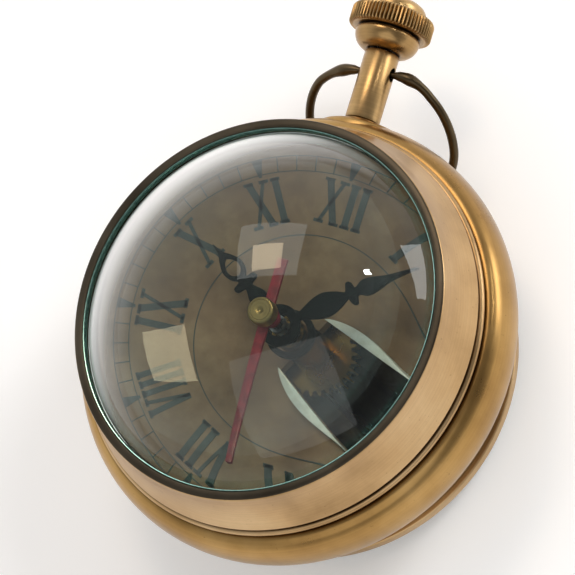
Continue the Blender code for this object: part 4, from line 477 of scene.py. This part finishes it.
# rear bezel: the same joint, with a raised lip round the glass
def buildRearBezel():
    bead = arcPoints(31.75, 12.85, 0.55, 90, -90, 12)
    profile = [*bead, (31.3, 12.3), (31.3, 11.72), (31.75, 11.7)]
    profile += sweep((31.75, 11.68), (29.5, 5.6), 0.4, 20)
    profile += [(29.5, 5.0), (30.1, 4.98), (30.3, 4.8), (30.3, 3.5), (30.0, 3.2), (27.7, 3.2), (27.7, 4.4),
                (28.9, 4.4), (28.9, 10.9), (30.5, 10.9), (30.5, 13.4), bead[0]]
    return turnPiece("rearBezelShell", profile, bezelBrass, steps=200, edge=0.05)


rearBezel = buildRearBezel()
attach(rearBezel, "case")
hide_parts("rear_bezel")

# lens: a thick plano-convex glass with a ground edge
lensSettings = {"base": 30.4, "top": 46.3, "curve": 34.757, "domeRadius": 27.9, "flange": 28.1}


def buildLens():
    s = lensSettings
    spread = math.degrees(math.asin(s["domeRadius"] / s["curve"]))
    dome = arcPoints(0.0, s["top"] - s["curve"], s["curve"], 90 - spread, 90, 56)
    edge = dome[0][1]
    profile = [(0.0, s["base"]), (14.0, s["base"]), (s["flange"] - 0.2, s["base"]),
               (s["flange"], s["base"] + 0.2), (s["flange"], edge - 0.1), (s["flange"] - 0.1, edge),
               *dome[:-1], (0.0, s["top"])]
    return turnPiece("domedLens", profile, lensGlass, steps=192, smoothAngle=30.0)


lens = buildLens()
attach(lens, "case")
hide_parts("front_lens")

ringProfile = [(27.9, 32.9), (28.18, 32.9), (28.18, 33.85), (28.10, 33.93), (28.0, 33.90), (27.9, 33.6),
               (27.9, 32.9)]
lensRing = turnPiece("lensRing", ringProfile, ringBrass, steps=160)
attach(lensRing, "case")
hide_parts("lens_retaining_ring")

# rear glass: a thick disc that stands proud of the rear bezel, so the clock rests on it
rearProfile = [(0.0, 0.0), (14.0, 0.0), (26.5, 0.0), (27.0, 0.15), (27.3, 0.5), (27.4, 0.9), (27.4, 4.7),
               (28.6, 4.7), (28.6, 6.2), (28.5, 6.3), (14.0, 6.3), (0.0, 6.3)]
rearGlass = turnPiece("rearGlassDisc", rearProfile, rearGlassMaterial, steps=160, smoothAngle=30.0)
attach(rearGlass, "case")
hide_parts("rear_glass")

# dial flange: the dark cone between the dial and the lens, with a step halfway up
flangeProfile = [(22.4, 22.0), (23.6, 22.0), (28.1, 27.8), (28.1, 29.0), (26.6, 29.0), (26.3, 28.5),
                 (25.2, 26.6), (24.9, 26.4), (23.4, 23.8), (22.4, 22.0)]
flange = turnPiece("innerFlange", flangeProfile, innerBrass, steps=160, edge=0.05)
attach(flange, "case")
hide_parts("dial_flange")
print("bezels and glass done")


# pendant tube with the slots that the bow's pins ride in
def buildPendant():
    profile = [(1.5, 34.9), (2.5, 34.9), (2.5, 35.32), (2.72, 35.42), (2.72, 46.5), (2.6, 46.7),
               (1.5, 46.7), (1.5, 34.9)]
    tube = turnPiece("pendantTubeShell", profile, crownBrass, axis="y", steps=96, edge=0.04)
    startClean()
    bpy.ops.mesh.primitive_cylinder_add(vertices=32, radius=0.85 * mm, depth=8 * mm,
                                        rotation=(0.0, math.pi / 2, 0.0),
                                        location=(0.0, axisY + 43.5 * mm, midZ))
    slot = bpy.context.object
    bpy.ops.object.mode_set(mode="EDIT")
    bpy.ops.mesh.select_all(action="SELECT")
    bpy.ops.transform.resize(value=(1.0, 1.35, 1.0))
    bpy.ops.object.mode_set(mode="OBJECT")
    startClean()
    slot.select_set(True)
    bpy.context.view_layer.objects.active = slot
    bpy.ops.object.transform_apply(location=True, rotation=True, scale=True)
    cut = tube.modifiers.new("slot", "BOOLEAN")
    cut.operation = "DIFFERENCE"
    cut.solver = "EXACT"
    cut.object = slot
    applyModifiers(tube)
    bpy.data.objects.remove(slot, do_unlink=True)
    return settle(tube, "pendantTubeShell", crownBrass)


pendant = buildPendant()
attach(pendant, "case")
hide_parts("pendant_tube")


# bow: drawn wire with flattened shoulders where the pins start
bowSettings = {"halfWidth": 12.5, "shoulder": 3.4, "drop": 11.6, "depth": 11.0, "wire": 0.70, "pin": 0.52,
               "knuckle": 0.98, "lean": 0.7, "angle": 52.2, "pivot": 43.5}


def buildBow():
    s = bowSettings
    route = [(1.8, 0.0, s["pin"]), (3.0, 0.0, s["pin"]), (3.3, 0.0, s["pin"] * 1.1)]
    reach = s["halfWidth"] - s["shoulder"]
    for step in range(1, 30):
        angle = math.pi / 2 * step / 30
        swell = (s["knuckle"] - s["wire"]) * math.exp(-((step - 5.0) / 3.0) ** 2)
        side = s["shoulder"] + reach * math.sin(angle)
        route.append((side, s["drop"] * (1 - math.cos(angle)), s["wire"] + swell))
    for step in range(25):
        angle = math.pi / 2 * step / 24
        route.append((s["halfWidth"] * math.cos(angle), s["drop"] + s["depth"] * math.sin(angle),
                      s["wire"]))
    route += [(-x, drop, wire) for x, drop, wire in reversed(route[:-1])]
    # the loop is bent a little to one side, as on the real clock
    route = [(x - s["lean"] * min(1.0, drop / 3.0), drop, wire) for x, drop, wire in route]
    startClean()
    bpy.ops.curve.primitive_nurbs_path_add(location=(0.0, axisY + s["pivot"] * mm, midZ))
    bow = bpy.context.object
    curve = bow.data
    curve.splines.clear()
    line = curve.splines.new("POLY")
    line.points.add(len(route) - 1)
    tilt = math.radians(s["angle"])
    for point, (x, drop, wire) in zip(line.points, route):
        point.co = (x * mm, -drop * math.cos(tilt) * mm, -drop * math.sin(tilt) * mm, 1.0)
        point.radius = wire / s["wire"]
    curve.bevel_depth = s["wire"] * mm
    curve.bevel_resolution = 6
    curve.use_fill_caps = True
    startClean()
    bow.select_set(True)
    bpy.context.view_layer.objects.active = bow
    bpy.ops.object.convert(target="MESH")
    return settle(bpy.context.object, "bowWire", bowBrass, 50.0)


bow = buildBow()
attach(bow, "bow_ring")
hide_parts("bow")
print("pendant and bow done")


# crown: a bell, a knurled head and a low dome
crownSettings = {"bellRadius": 5.1, "headRadius": 6.5, "ridges": 66, "headBottom": 50.1}


def buildCrown():
    s = crownSettings
    bell = [(2.8, 46.85)]
    for step in range(1, 13):
        angle = math.pi / 2 * step / 12
        bell.append((2.8 + (s["bellRadius"] - 2.8) * math.sin(angle), 46.85 + 2.7 * (1 - math.cos(angle))))
    profile = [(1.2, 46.85), *bell, (5.0, 49.75), (4.3, 49.85), (4.3, s["headBottom"]),
               (5.6, s["headBottom"]), (5.8, 50.3), (5.8, 53.1), (5.75, 53.3), (5.3, 53.4),
               (4.95, 53.4), (4.85, 53.5), (4.85, 53.9), (4.7, 54.4), (4.3, 54.9), (3.6, 55.3), (2.6, 55.6),
               (1.4, 55.76), (0.0, 55.8)]
    closed = [(0.0, 51.7), (1.2, 51.7), *profile]
    body = turnPiece("crownBody", closed, crownBrass, axis="y", steps=120, edge=0.05)
    # the knurled ring: a circle's points are drawn in, one in six the most, then it is raised
    startClean()
    count = s["ridges"] * 6
    bpy.ops.mesh.primitive_circle_add(vertices=count, radius=s["headRadius"] * mm, fill_type="NGON",
                                      rotation=(-math.pi / 2, 0.0, 0.0),
                                      location=(0.0, axisY + 50.15 * mm, midZ))
    ring = bpy.context.object
    shares = (0.945, 0.965, 0.992, 1.0, 0.992, 0.965)
    for index, vertex in enumerate(ring.data.vertices):
        vertex.co *= shares[index % 6] * 0.93
    bpy.ops.object.mode_set(mode="EDIT")
    bpy.ops.mesh.select_all(action="SELECT")
    for rise, size in ((0.12, 1.05), (0.25, 1.0241), (2.25, 1.0), (0.38, 0.965), (0.12, 0.9)):
        bpy.ops.mesh.extrude_region_move(TRANSFORM_OT_translate={"value": (0.0, rise * mm, 0.0)})
        bpy.ops.transform.resize(value=(size, 1.0, size), center_override=(0.0, 0.0, midZ))
    bpy.ops.mesh.select_all(action="SELECT")
    bpy.ops.mesh.normals_make_consistent(inside=False)
    bpy.ops.object.mode_set(mode="OBJECT")
    ring = settle(ring, "crownKnurl", crownBrass, 25.0)
    return joinPieces([body, ring], "knurledCrown")


crown = buildCrown()
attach(crown, "crown_and_stem")
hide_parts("crown")
print("crown done")

# the dial, its opening and its printing
dialSettings = {"top": 21.7, "bottom": 21.2, "radius": 24.2, "hole": 2.1, "print": 0.03,
                "numeralRadius": 15.3, "numeralHeight": 4.9, "openingTurn": -30.0, "openingEnd": 10.7,
                "openingStartHalf": 3.5, "openingEndHalf": 5.0}
# shares of a numeral's height: the gap between letters, the width of letters and words, and the serifs
numeralSettings = {"gap": 0.06, "letter": 0.78, "word": 1.02, "serif": 0.13, "serifRise": 0.025}
trackSettings = {"inner": (18.35, 18.45), "outer": (20.15, 20.27), "chapter": (11.45, 11.55),
                 "tick": (18.4, 20.2, 0.10),
                 "wedge": [(-0.55, 20.15), (0.55, 20.15), (0.14, 18.1), (-0.14, 18.1)]}


def turned(points, degrees):
    c, s = math.cos(math.radians(degrees)), math.sin(math.radians(degrees))
    return [(x * c - y * s, x * s + y * c) for x, y in points]


# a fan that widens from beside the hands' hub and runs into the hole round their arbors
def openingOutline():
    s = dialSettings
    half = math.degrees(math.asin(s["openingEndHalf"] / s["openingEnd"]))
    loop = arcPoints(0.0, 0.0, s["openingEnd"], -half, half, 16)
    hubSide = arcPoints(0.0, 0.0, s["hole"], 90, 270, 24)
    loop += [(0.0, s["openingStartHalf"]), *hubSide, (0.0, -s["openingStartHalf"])]
    return turned(loop, s["openingTurn"])


def buildDial():
    s = dialSettings
    rim = arcPoints(0.0, 0.0, s["radius"], 0, 360 - 360 / 160, 159)
    return flatPiece("dialCardDisc", rim, [openingOutline()], s["bottom"], s["top"], dialCard)


dial = buildDial()
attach(dial, "case")
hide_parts("dial_plate")

# silvered strips along the opening's long sides, blade shaped like the highlight streaks they stand for:
# thin at the hub, widest in the middle; their near-white colour is partly a painted highlight
stripSettings = {"width": 1.15, "height": 0.42, "edge": 0.26}


def buildOpeningStrips():
    d, s = dialSettings, stripSettings
    half = math.asin(d["openingEndHalf"] / d["openingEnd"])
    corner = (d["openingEnd"] * math.cos(half), d["openingEndHalf"])
    strips = []
    for side in (1, -1):
        inner, outer = [], []
        for step in range(25):
            share = step / 24
            x = corner[0] * share
            y = d["openingStartHalf"] + (corner[1] - d["openingStartHalf"]) * share
            bulge = s["width"] * (0.06 + 0.94 * math.sin(math.pi * share ** 0.8))
            inner.append((x, y * side))
            outer.append((x, (y + bulge) * side))
        loop = inner[::-1] + outer if side > 0 else inner + outer[::-1]
        strips.append(flatPiece("strip", turned(loop, d["openingTurn"]), [], d["top"],
                                d["top"] + s["height"], openingEdge, s["edge"]))
    return joinPieces(strips, "openingStrips")


strips = buildOpeningStrips()
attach(strips, "case")


def printedRing(name, inner, outer):
    top = dialSettings["top"]
    high = top + dialSettings["print"]
    profile = [(inner, top), (outer, top), (outer, high), (inner, high), (inner, top)]
    return turnPiece(name, profile, dialInk, steps=180)


# strokes of a Roman numeral: start, end and thickness, in shares of its height
thick, thin = 0.185, 0.075
numeralStrokes = {
    "I": (0.26, [((0.13, 0.0), (0.13, 1.0), thick)]),
    "V": (0.62, [((0.12, 1.0), (0.32, 0.0), thick), ((0.52, 1.0), (0.34, 0.0), thin)]),
    "X": (0.66, [((0.12, 1.0), (0.54, 0.0), thick), ((0.54, 1.0), (0.12, 0.0), thin)]),
}
numeralNames = ["XII", "I", "II", "III", "IIII", "V", "VI", "VII", "VIII", "IX", "X", "XI"]


def stroke(start, end, width, base):
    startClean()
    length = math.dist(start, end)
    middle = ((start[0] + end[0]) / 2 * mm, axisY + (start[1] + end[1]) / 2 * mm, base * mm)
    turn = math.atan2(end[1] - start[1], end[0] - start[0])
    bpy.ops.mesh.primitive_plane_add(size=mm, location=middle, rotation=(0.0, 0.0, turn))
    piece = bpy.context.object
    bpy.ops.object.mode_set(mode="EDIT")
    bpy.ops.mesh.select_all(action="SELECT")
    rise = (0.0, 0.0, dialSettings["print"] * mm)
    bpy.ops.mesh.extrude_region_move(TRANSFORM_OT_translate={"value": rise})
    bpy.ops.mesh.select_all(action="SELECT")
    bpy.ops.mesh.normals_make_consistent(inside=False)
    bpy.ops.object.mode_set(mode="OBJECT")
    piece.scale = (length, width, 1.0)
    startClean()
    piece.select_set(True)
    bpy.context.view_layer.objects.active = piece
    bpy.ops.object.transform_apply(location=True, rotation=True, scale=True)
    return piece


def buildNumerals():
    s = dialSettings
    n = numeralSettings
    height = s["numeralHeight"]
    gap = n["gap"]
    pieces = []
    for hour, word in enumerate(numeralNames):
        wordWidth = sum(numeralStrokes[letter][0] for letter in word) + gap * (len(word) - 1)
        narrow = min(n["letter"], n["word"] / wordWidth)
        left = -wordWidth / 2
        for letter in word:
            letterWidth, strokes = numeralStrokes[letter]
            drawn = [(a, b, t) for a, b, t in strokes]
            feet = set()
            for a, b, t in strokes:
                for x, y in (a, b):
                    if letter != "V" or y > 0.5:
                        feet.add((x, y))
            for x, y in feet:  # serifs
                level = 1 - n["serifRise"] if y > 0.5 else n["serifRise"]
                drawn.append(((x - n["serif"], level), (x + n["serif"], level), thin))
            for a, b, t in drawn:
                upright = [((left + x) * narrow * height, s["numeralRadius"] + (y - 0.5) * height)
                           for x, y in (a, b)]
                start, end = turned(upright, -30.0 * hour)
                width = t * height * (narrow if t == thick else 1.0)
                pieces.append(stroke(start, end, width, s["top"]))
            left += letterWidth + gap
    numerals = joinPieces(pieces, "dialNumerals")
    return settle(numerals, "dialNumerals", dialInk)


def buildMinuteTrack():
    s = trackSettings
    top = dialSettings["top"]
    high = top + dialSettings["print"]
    pieces = [printedRing(name, *s[name]) for name in ("inner", "outer", "chapter")]
    inner, outer, width = s["tick"]
    for minute in range(60):
        angle = math.radians(6.0 * minute)
        start = (inner * math.sin(angle), inner * math.cos(angle))
        end = (outer * math.sin(angle), outer * math.cos(angle))
        pieces.append(stroke(start, end, width, top))
        if minute % 5 == 0:
            pieces.append(flatPiece("wedge", s["wedge"], [], top, high, dialInk, turn=-6.0 * minute))
    track = joinPieces(pieces, "minuteTrack")
    return settle(track, "minuteTrack", dialInk)


numerals = buildNumerals()
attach(numerals, "case")
track = buildMinuteTrack()
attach(track, "case")
print("dial done")

# hands: blackened steel cut with leaf, collar and drop, and a red enamelled one for the seconds
minutesPast = 8.8  # past ten
hourSettings = {"length": 13.2, "width": 3.0, "hub": 2.7, "bore": 2.0,
                "turn": 90.0 - 30.0 * (10.0 + minutesPast / 60),
                "shape": [(0.20, 0.34), (0.30, 0.52), (0.42, 0.66), (0.50, 0.40), (0.54, 0.34),
                          (0.56, 0.90), (0.60, 0.90), (0.62, 0.36), (0.68, 0.70), (0.76, 0.80),
                          (0.84, 0.52), (0.90, 0.20), (0.95, 0.10)],
                "drop": [(0.66, 0.0), (0.69, 0.38), (0.75, 0.50), (0.81, 0.28), (0.84, 0.0)]}
minuteSettings = {"length": 17.8, "width": 2.8, "hub": 2.43, "bore": 1.3, "turn": 90.0 - 6.0 * minutesPast,
                  "shape": [(0.14, 0.32), (0.20, 0.60), (0.27, 0.92), (0.34, 1.0), (0.41, 0.72),
                            (0.46, 0.40), (0.48, 0.34), (0.50, 0.95), (0.53, 0.95), (0.55, 0.34),
                            (0.61, 0.68), (0.68, 0.62), (0.78, 0.30), (0.90, 0.14)]}


# the cubic between b and c whose slopes follow the neighbours a and d
def between(a, b, c, d, t):
    straight = 2 * b + (c - a) * t
    return 0.5 * (straight + (2 * a - 5 * b + 4 * c - d) * t * t + (3 * b - a - 3 * c + d) * t ** 3)


# a smooth line through the points, eight steps between each two
def smoothLine(points):
    smooth = []
    padded = [points[0], *points, points[-1]]
    for a, b, c, d in zip(padded, padded[1:], padded[2:], padded[3:]):
        for step in range(8):
            smooth.append(tuple(between(a[i], b[i], c[i], d[i], step / 8) for i in (0, 1)))
    return [*smooth, points[-1]]


def buildHand(name, node, s):
    low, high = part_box(node)
    start = 28.0
    root = (s["hub"] * math.cos(math.radians(start)), s["hub"] * math.sin(math.radians(start)))
    waist = [(s["length"] * x, s["width"] / 2 * y) for x, y in s["shape"]]
    side = smoothLine([root, *waist, (s["length"], 0.06)])
    outline = arcPoints(0.0, 0.0, s["hub"], start + 8, 352 - start, 40)
    outline += [(x, -y) for x, y in side] + side[::-1]
    holes = [arcPoints(0.0, 0.0, s["bore"], 0, 360 - 360 / 40, 39)]
    if "drop" in s:
        half = smoothLine([(s["length"] * x, s["width"] / 2 * y) for x, y in s["drop"]])
        holes.append([(x, -y) for x, y in half] + half[-2:0:-1])
    return flatPiece(name, outline, holes, low[2] / mm, high[2] / mm, blackSteel, 0.05, s["turn"])


hourHand = buildHand("hourHandPlate", "hour_hand", hourSettings)
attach(hourHand, "hour_sleeve")
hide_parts("hour_hand")
minuteHand = buildHand("minuteHandPlate", "minute_hand", minuteSettings)
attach(minuteHand, "minute_arbor")
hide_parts("minute_hand")

secondSettings = {"length": 19.2, "tail": 7.0, "root": 0.62, "tip": 0.42, "end": 0.62, "hub": 1.45,
                  "bore": 0.62, "collar": 0.75}


def buildSecondHand():
    s = secondSettings
    low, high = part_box("second_hand")
    bottom, top = low[2] / mm, high[2] / mm
    outline = arcPoints(0.0, 0.0, s["hub"], 26, 154, 16)
    outline += [(-s["tail"], s["end"]), (-s["tail"], -s["end"])]
    outline += arcPoints(0.0, 0.0, s["hub"], 206, 334, 16)
    outline += [(s["length"], -s["tip"]), (s["length"] + 0.12, 0.0), (s["length"], s["tip"])]
    bore = arcPoints(0.0, 0.0, s["bore"], 0, 360 - 360 / 32, 31)
    plate = flatPiece("secondHandPlate", outline, [bore], bottom, top, redEnamel, 0.05, -90.0)
    profile = [(s["bore"], bottom - s["collar"]), (s["hub"] - 0.3, bottom - s["collar"]),
               (s["hub"] - 0.1, bottom - 0.2), (s["hub"] - 0.1, bottom + 0.02), (s["bore"], bottom + 0.02),
               (s["bore"], bottom - s["collar"])]
    collar = turnPiece("collar", profile, redEnamel, steps=48)
    return joinPieces([plate, collar], "secondHandPlate")


secondHand = buildSecondHand()
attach(secondHand, "seconds_arbor")
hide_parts("second_hand")


# the cap over the hands: a turned button with a groove near its rim and a small centre pit
def buildHandCap():
    low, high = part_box("hand_cap")
    bottom, top = low[2] / mm, high[2] / mm
    radius = (high[0] - low[0]) / 2 / mm
    profile = [(0.5, bottom), (radius - 0.12, bottom), (radius, bottom + 0.12), (radius, top - 0.22),
               (radius - 0.05, top - 0.10), (radius - 0.14, top - 0.02), (radius - 0.22, top),
               (radius - 0.34, top), (radius - 0.38, top - 0.05), (radius - 0.46, top - 0.05),
               (radius - 0.50, top - 0.01), (0.55, top), (0.34, top - 0.03), (0.26, top - 0.10),
               (0.0, top - 0.16), (0.0, bottom + 0.4), (0.5, bottom + 0.4), (0.5, bottom)]
    return turnPiece("handCapButton", profile, capBrass, steps=64)


handCap = buildHandCap()
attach(handCap, "seconds_arbor")
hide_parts("hand_cap")
print("hands done")

# CAD nodes that stay get their finishes
finishes = {
    "movement_ring": innerBrass, "rear_glass_ring": innerBrass, "main_plate": shadeDarkPlate,
    "barrel_bridge": plateBrass, "train_bridge": plateBrass, "balance_cock": plateBrass,
    "mainspring_barrel": wheelBrass, "barrel_arbor": brightSteel, "ratchet_wheel": brightSteel,
    "crown_wheel": brightSteel, "winding_pinion": brightSteel, "winding_stem": brightSteel,
    "click": brightSteel, "click_screw": bluedSteel, "centre_wheel": wheelBrass, "third_wheel": wheelBrass,
    "fourth_wheel": wheelBrass, "escape_wheel": brightSteel, "pallet_fork": brightSteel,
    "balance_wheel": wheelBrass, "balance_staff": brightSteel, "hairspring": bluedSteel,
    "hairspring_stud": brightSteel, "cannon_pinion": brightSteel, "minute_wheel": wheelBrass,
    "hour_wheel": wheelBrass, "cock_screw": bluedSteel,
}
for number in range(1, 7):
    finishes[f"bridge_screw_{number}"] = bluedSteel
for name, material in finishes.items():
    mesh = nodes[name].data
    mesh.materials.clear()
    mesh.materials.append(material)
print("movement finished")

# stage: pale floor, white surroundings, soft lamps
viewRight = Vector((0.87629, 0.28697, -0.387)).normalized()
viewUp = Vector((-0.16372, 0.93282, 0.321)).normalized()
viewBack = Vector((0.45312, -0.21793, 0.8644)).normalized()
rimCentre = Vector((0.0, axisY, 34.0 * mm))
unit = 29.6 * mm
cameraSettings = {"lens": 219.13, "sensor": 36.0, "right": 0.1603, "up": 0.0923, "back": 17.37}


def buildCamera():
    s = cameraSettings
    data = bpy.data.cameras.new("studioCamera")
    data.lens = s["lens"]
    data.sensor_width = s["sensor"]
    data.clip_start = 0.01
    data.clip_end = 10.0
    camera = bpy.data.objects.new("studioCamera", data)
    bpy.context.scene.collection.objects.link(camera)
    turn = Matrix((viewRight, viewUp, viewBack)).transposed()
    place = rimCentre + unit * (s["right"] * viewRight + s["up"] * viewUp + s["back"] * viewBack)
    camera.matrix_world = Matrix.Translation(place) @ turn.to_4x4()
    bpy.context.scene.camera = camera


def addLamp(name, target, place, width, height, radiance, colour="FFFFFF"):
    data = bpy.data.lights.new(name, "AREA")
    data.shape = "RECTANGLE"
    data.size = width
    data.size_y = height
    data.energy = radiance * math.pi * width * height
    data.color = hexColour(colour)[:3]
    lamp = bpy.data.objects.new(name, data)
    bpy.context.scene.collection.objects.link(lamp)
    lamp.location = place
    lamp.rotation_euler = (target - place).to_track_quat("-Z", "Y").to_euler()
    return lamp


# a lamp that stands where the dome mirrors it at one place of the picture
def addMirroredLamp(name, pixelX, pixelY, distance, size, radiance, colour):
    radius = lensSettings["curve"] * mm
    centre = Vector((0.0, axisY, lensSettings["top"] * mm - radius))
    eye = bpy.context.scene.camera.matrix_world.translation
    reach = cameraSettings["lens"] / cameraSettings["sensor"] * 575
    way = (viewRight * (pixelX - 287.5) - viewUp * (pixelY - 287.5) - viewBack * reach).normalized()
    along = (centre - eye).dot(way)
    hit = eye + way * (along - math.sqrt(radius ** 2 - ((centre - eye).length_squared - along ** 2)))
    normal = (hit - centre).normalized()
    mirror = way - 2 * way.dot(normal) * normal
    return addLamp(name, hit, hit + mirror * distance, size, size, radiance, colour)


def buildStage():
    startClean()
    bpy.ops.mesh.primitive_plane_add(size=6.0, location=(0.0, 0.0, -0.0002))
    floor = bpy.context.object
    floor.name = "studioFloor"
    material, tree, shader = newMaterial("paleFloorPaper")
    tree.nodes.remove(shader)
    diffuse = addNode(tree, "ShaderNodeBsdfDiffuse", {"Color": hexColour("F4F4F4")})
    glow = addNode(tree, "ShaderNodeEmission", {"Color": (1.0, 1.0, 1.0, 1.0), "Strength": 0.16})
    both = addNode(tree, "ShaderNodeAddShader",
                   links={0: diffuse.outputs["BSDF"], 1: glow.outputs["Emission"]})
    rays = addNode(tree, "ShaderNodeLightPath")
    straight = addNode(tree, "ShaderNodeMath", {"operation": "MAXIMUM"},
                       {0: rays.outputs["Is Camera Ray"], 1: rays.outputs["Is Transmission Ray"]})
    seen = addNode(tree, "ShaderNodeMath", {"operation": "MAXIMUM"},
                   {0: straight.outputs["Value"], 1: rays.outputs["Is Glossy Ray"]})
    mix = addNode(tree, "ShaderNodeMixShader", links={0: seen.outputs["Value"], 1: diffuse.outputs["BSDF"],
                                                       2: both.outputs["Shader"]})
    tree.links.new(mix.outputs["Shader"], tree.nodes["Material Output"].inputs["Surface"])
    floor.data.materials.append(material)

    world = bpy.data.worlds.new("studioWorld")
    bpy.context.scene.world = world
    world.use_nodes = True
    tree = world.node_tree
    tree.nodes.clear()
    out = addNode(tree, "ShaderNodeOutputWorld")
    way = addNode(tree, "ShaderNodeTexCoord")
    # the room is white behind and beside the clock and dim on the camera's side
    facing = addNode(tree, "ShaderNodeVectorMath", {"operation": "DOT_PRODUCT", 1: tuple(viewBack)},
                     {0: way.outputs["Generated"]})
    level = addNode(tree, "ShaderNodeMapRange",
                    {"From Min": -0.05, "From Max": 0.8, "To Min": 1.0, "To Max": 0.22},
                    {"Value": facing.outputs["Value"]})
    rays = addNode(tree, "ShaderNodeLightPath")
    # what the glass mirrors inside itself is dimmer, so that no haze lies over the dial
    inGlass = addNode(tree, "ShaderNodeMapRange", {"To Min": 1.0, "To Max": 0.5},
                      {"Value": rays.outputs["Is Transmission Ray"]})
    dimmed = addNode(tree, "ShaderNodeMath", {"operation": "MULTIPLY"},
                     {0: level.outputs["Result"], 1: inGlass.outputs["Result"]})
    strength = addNode(tree, "ShaderNodeMix", {"data_type": "FLOAT", 3: 1.0},
                       {0: rays.outputs["Is Camera Ray"], 2: dimmed.outputs["Value"]})
    light = addNode(tree, "ShaderNodeBackground", {"Color": (1.0, 1.0, 1.0, 1.0)},
                    {"Strength": strength.outputs[0]})
    tree.links.new(light.outputs["Background"], out.inputs["Surface"])

    middle = Vector((0.0, axisY, 20 * mm))
    front = addLamp("frontSoftbox", middle, middle + Vector((0.25, -0.50, 0.62)), 0.80, 0.80, 0.8)
    top = addLamp("topSoftbox", middle, middle + Vector((-0.12, 0.36, 0.58)), 0.35, 0.35, 1.6)
    addLamp("sideSoftbox", middle, middle + Vector((0.50, 0.46, 0.05)), 0.30, 0.30, 4.5)
    key = addLamp("keyLamp", middle, middle + Vector((0.44, 0.42, 0.52)), 0.30, 0.30, 8.0)
    key.visible_glossy = False  # it is there for the shadow on the floor
    for lamp in (front, top, key):  # the lens's flat back doesn't mirror them over the dial
        lamp.visible_transmission = False
    addMirroredLamp("squareLamp", 267, 256, 0.60, 0.145, 6.5, "FFDFBC")
    addMirroredLamp("spotLamp", 367, 272, 0.60, 0.03, 60.0, "FFFFFF")
    scene = bpy.context.scene
    scene.view_settings.view_transform = "Standard"


buildCamera()
buildStage()
print("stage ready")
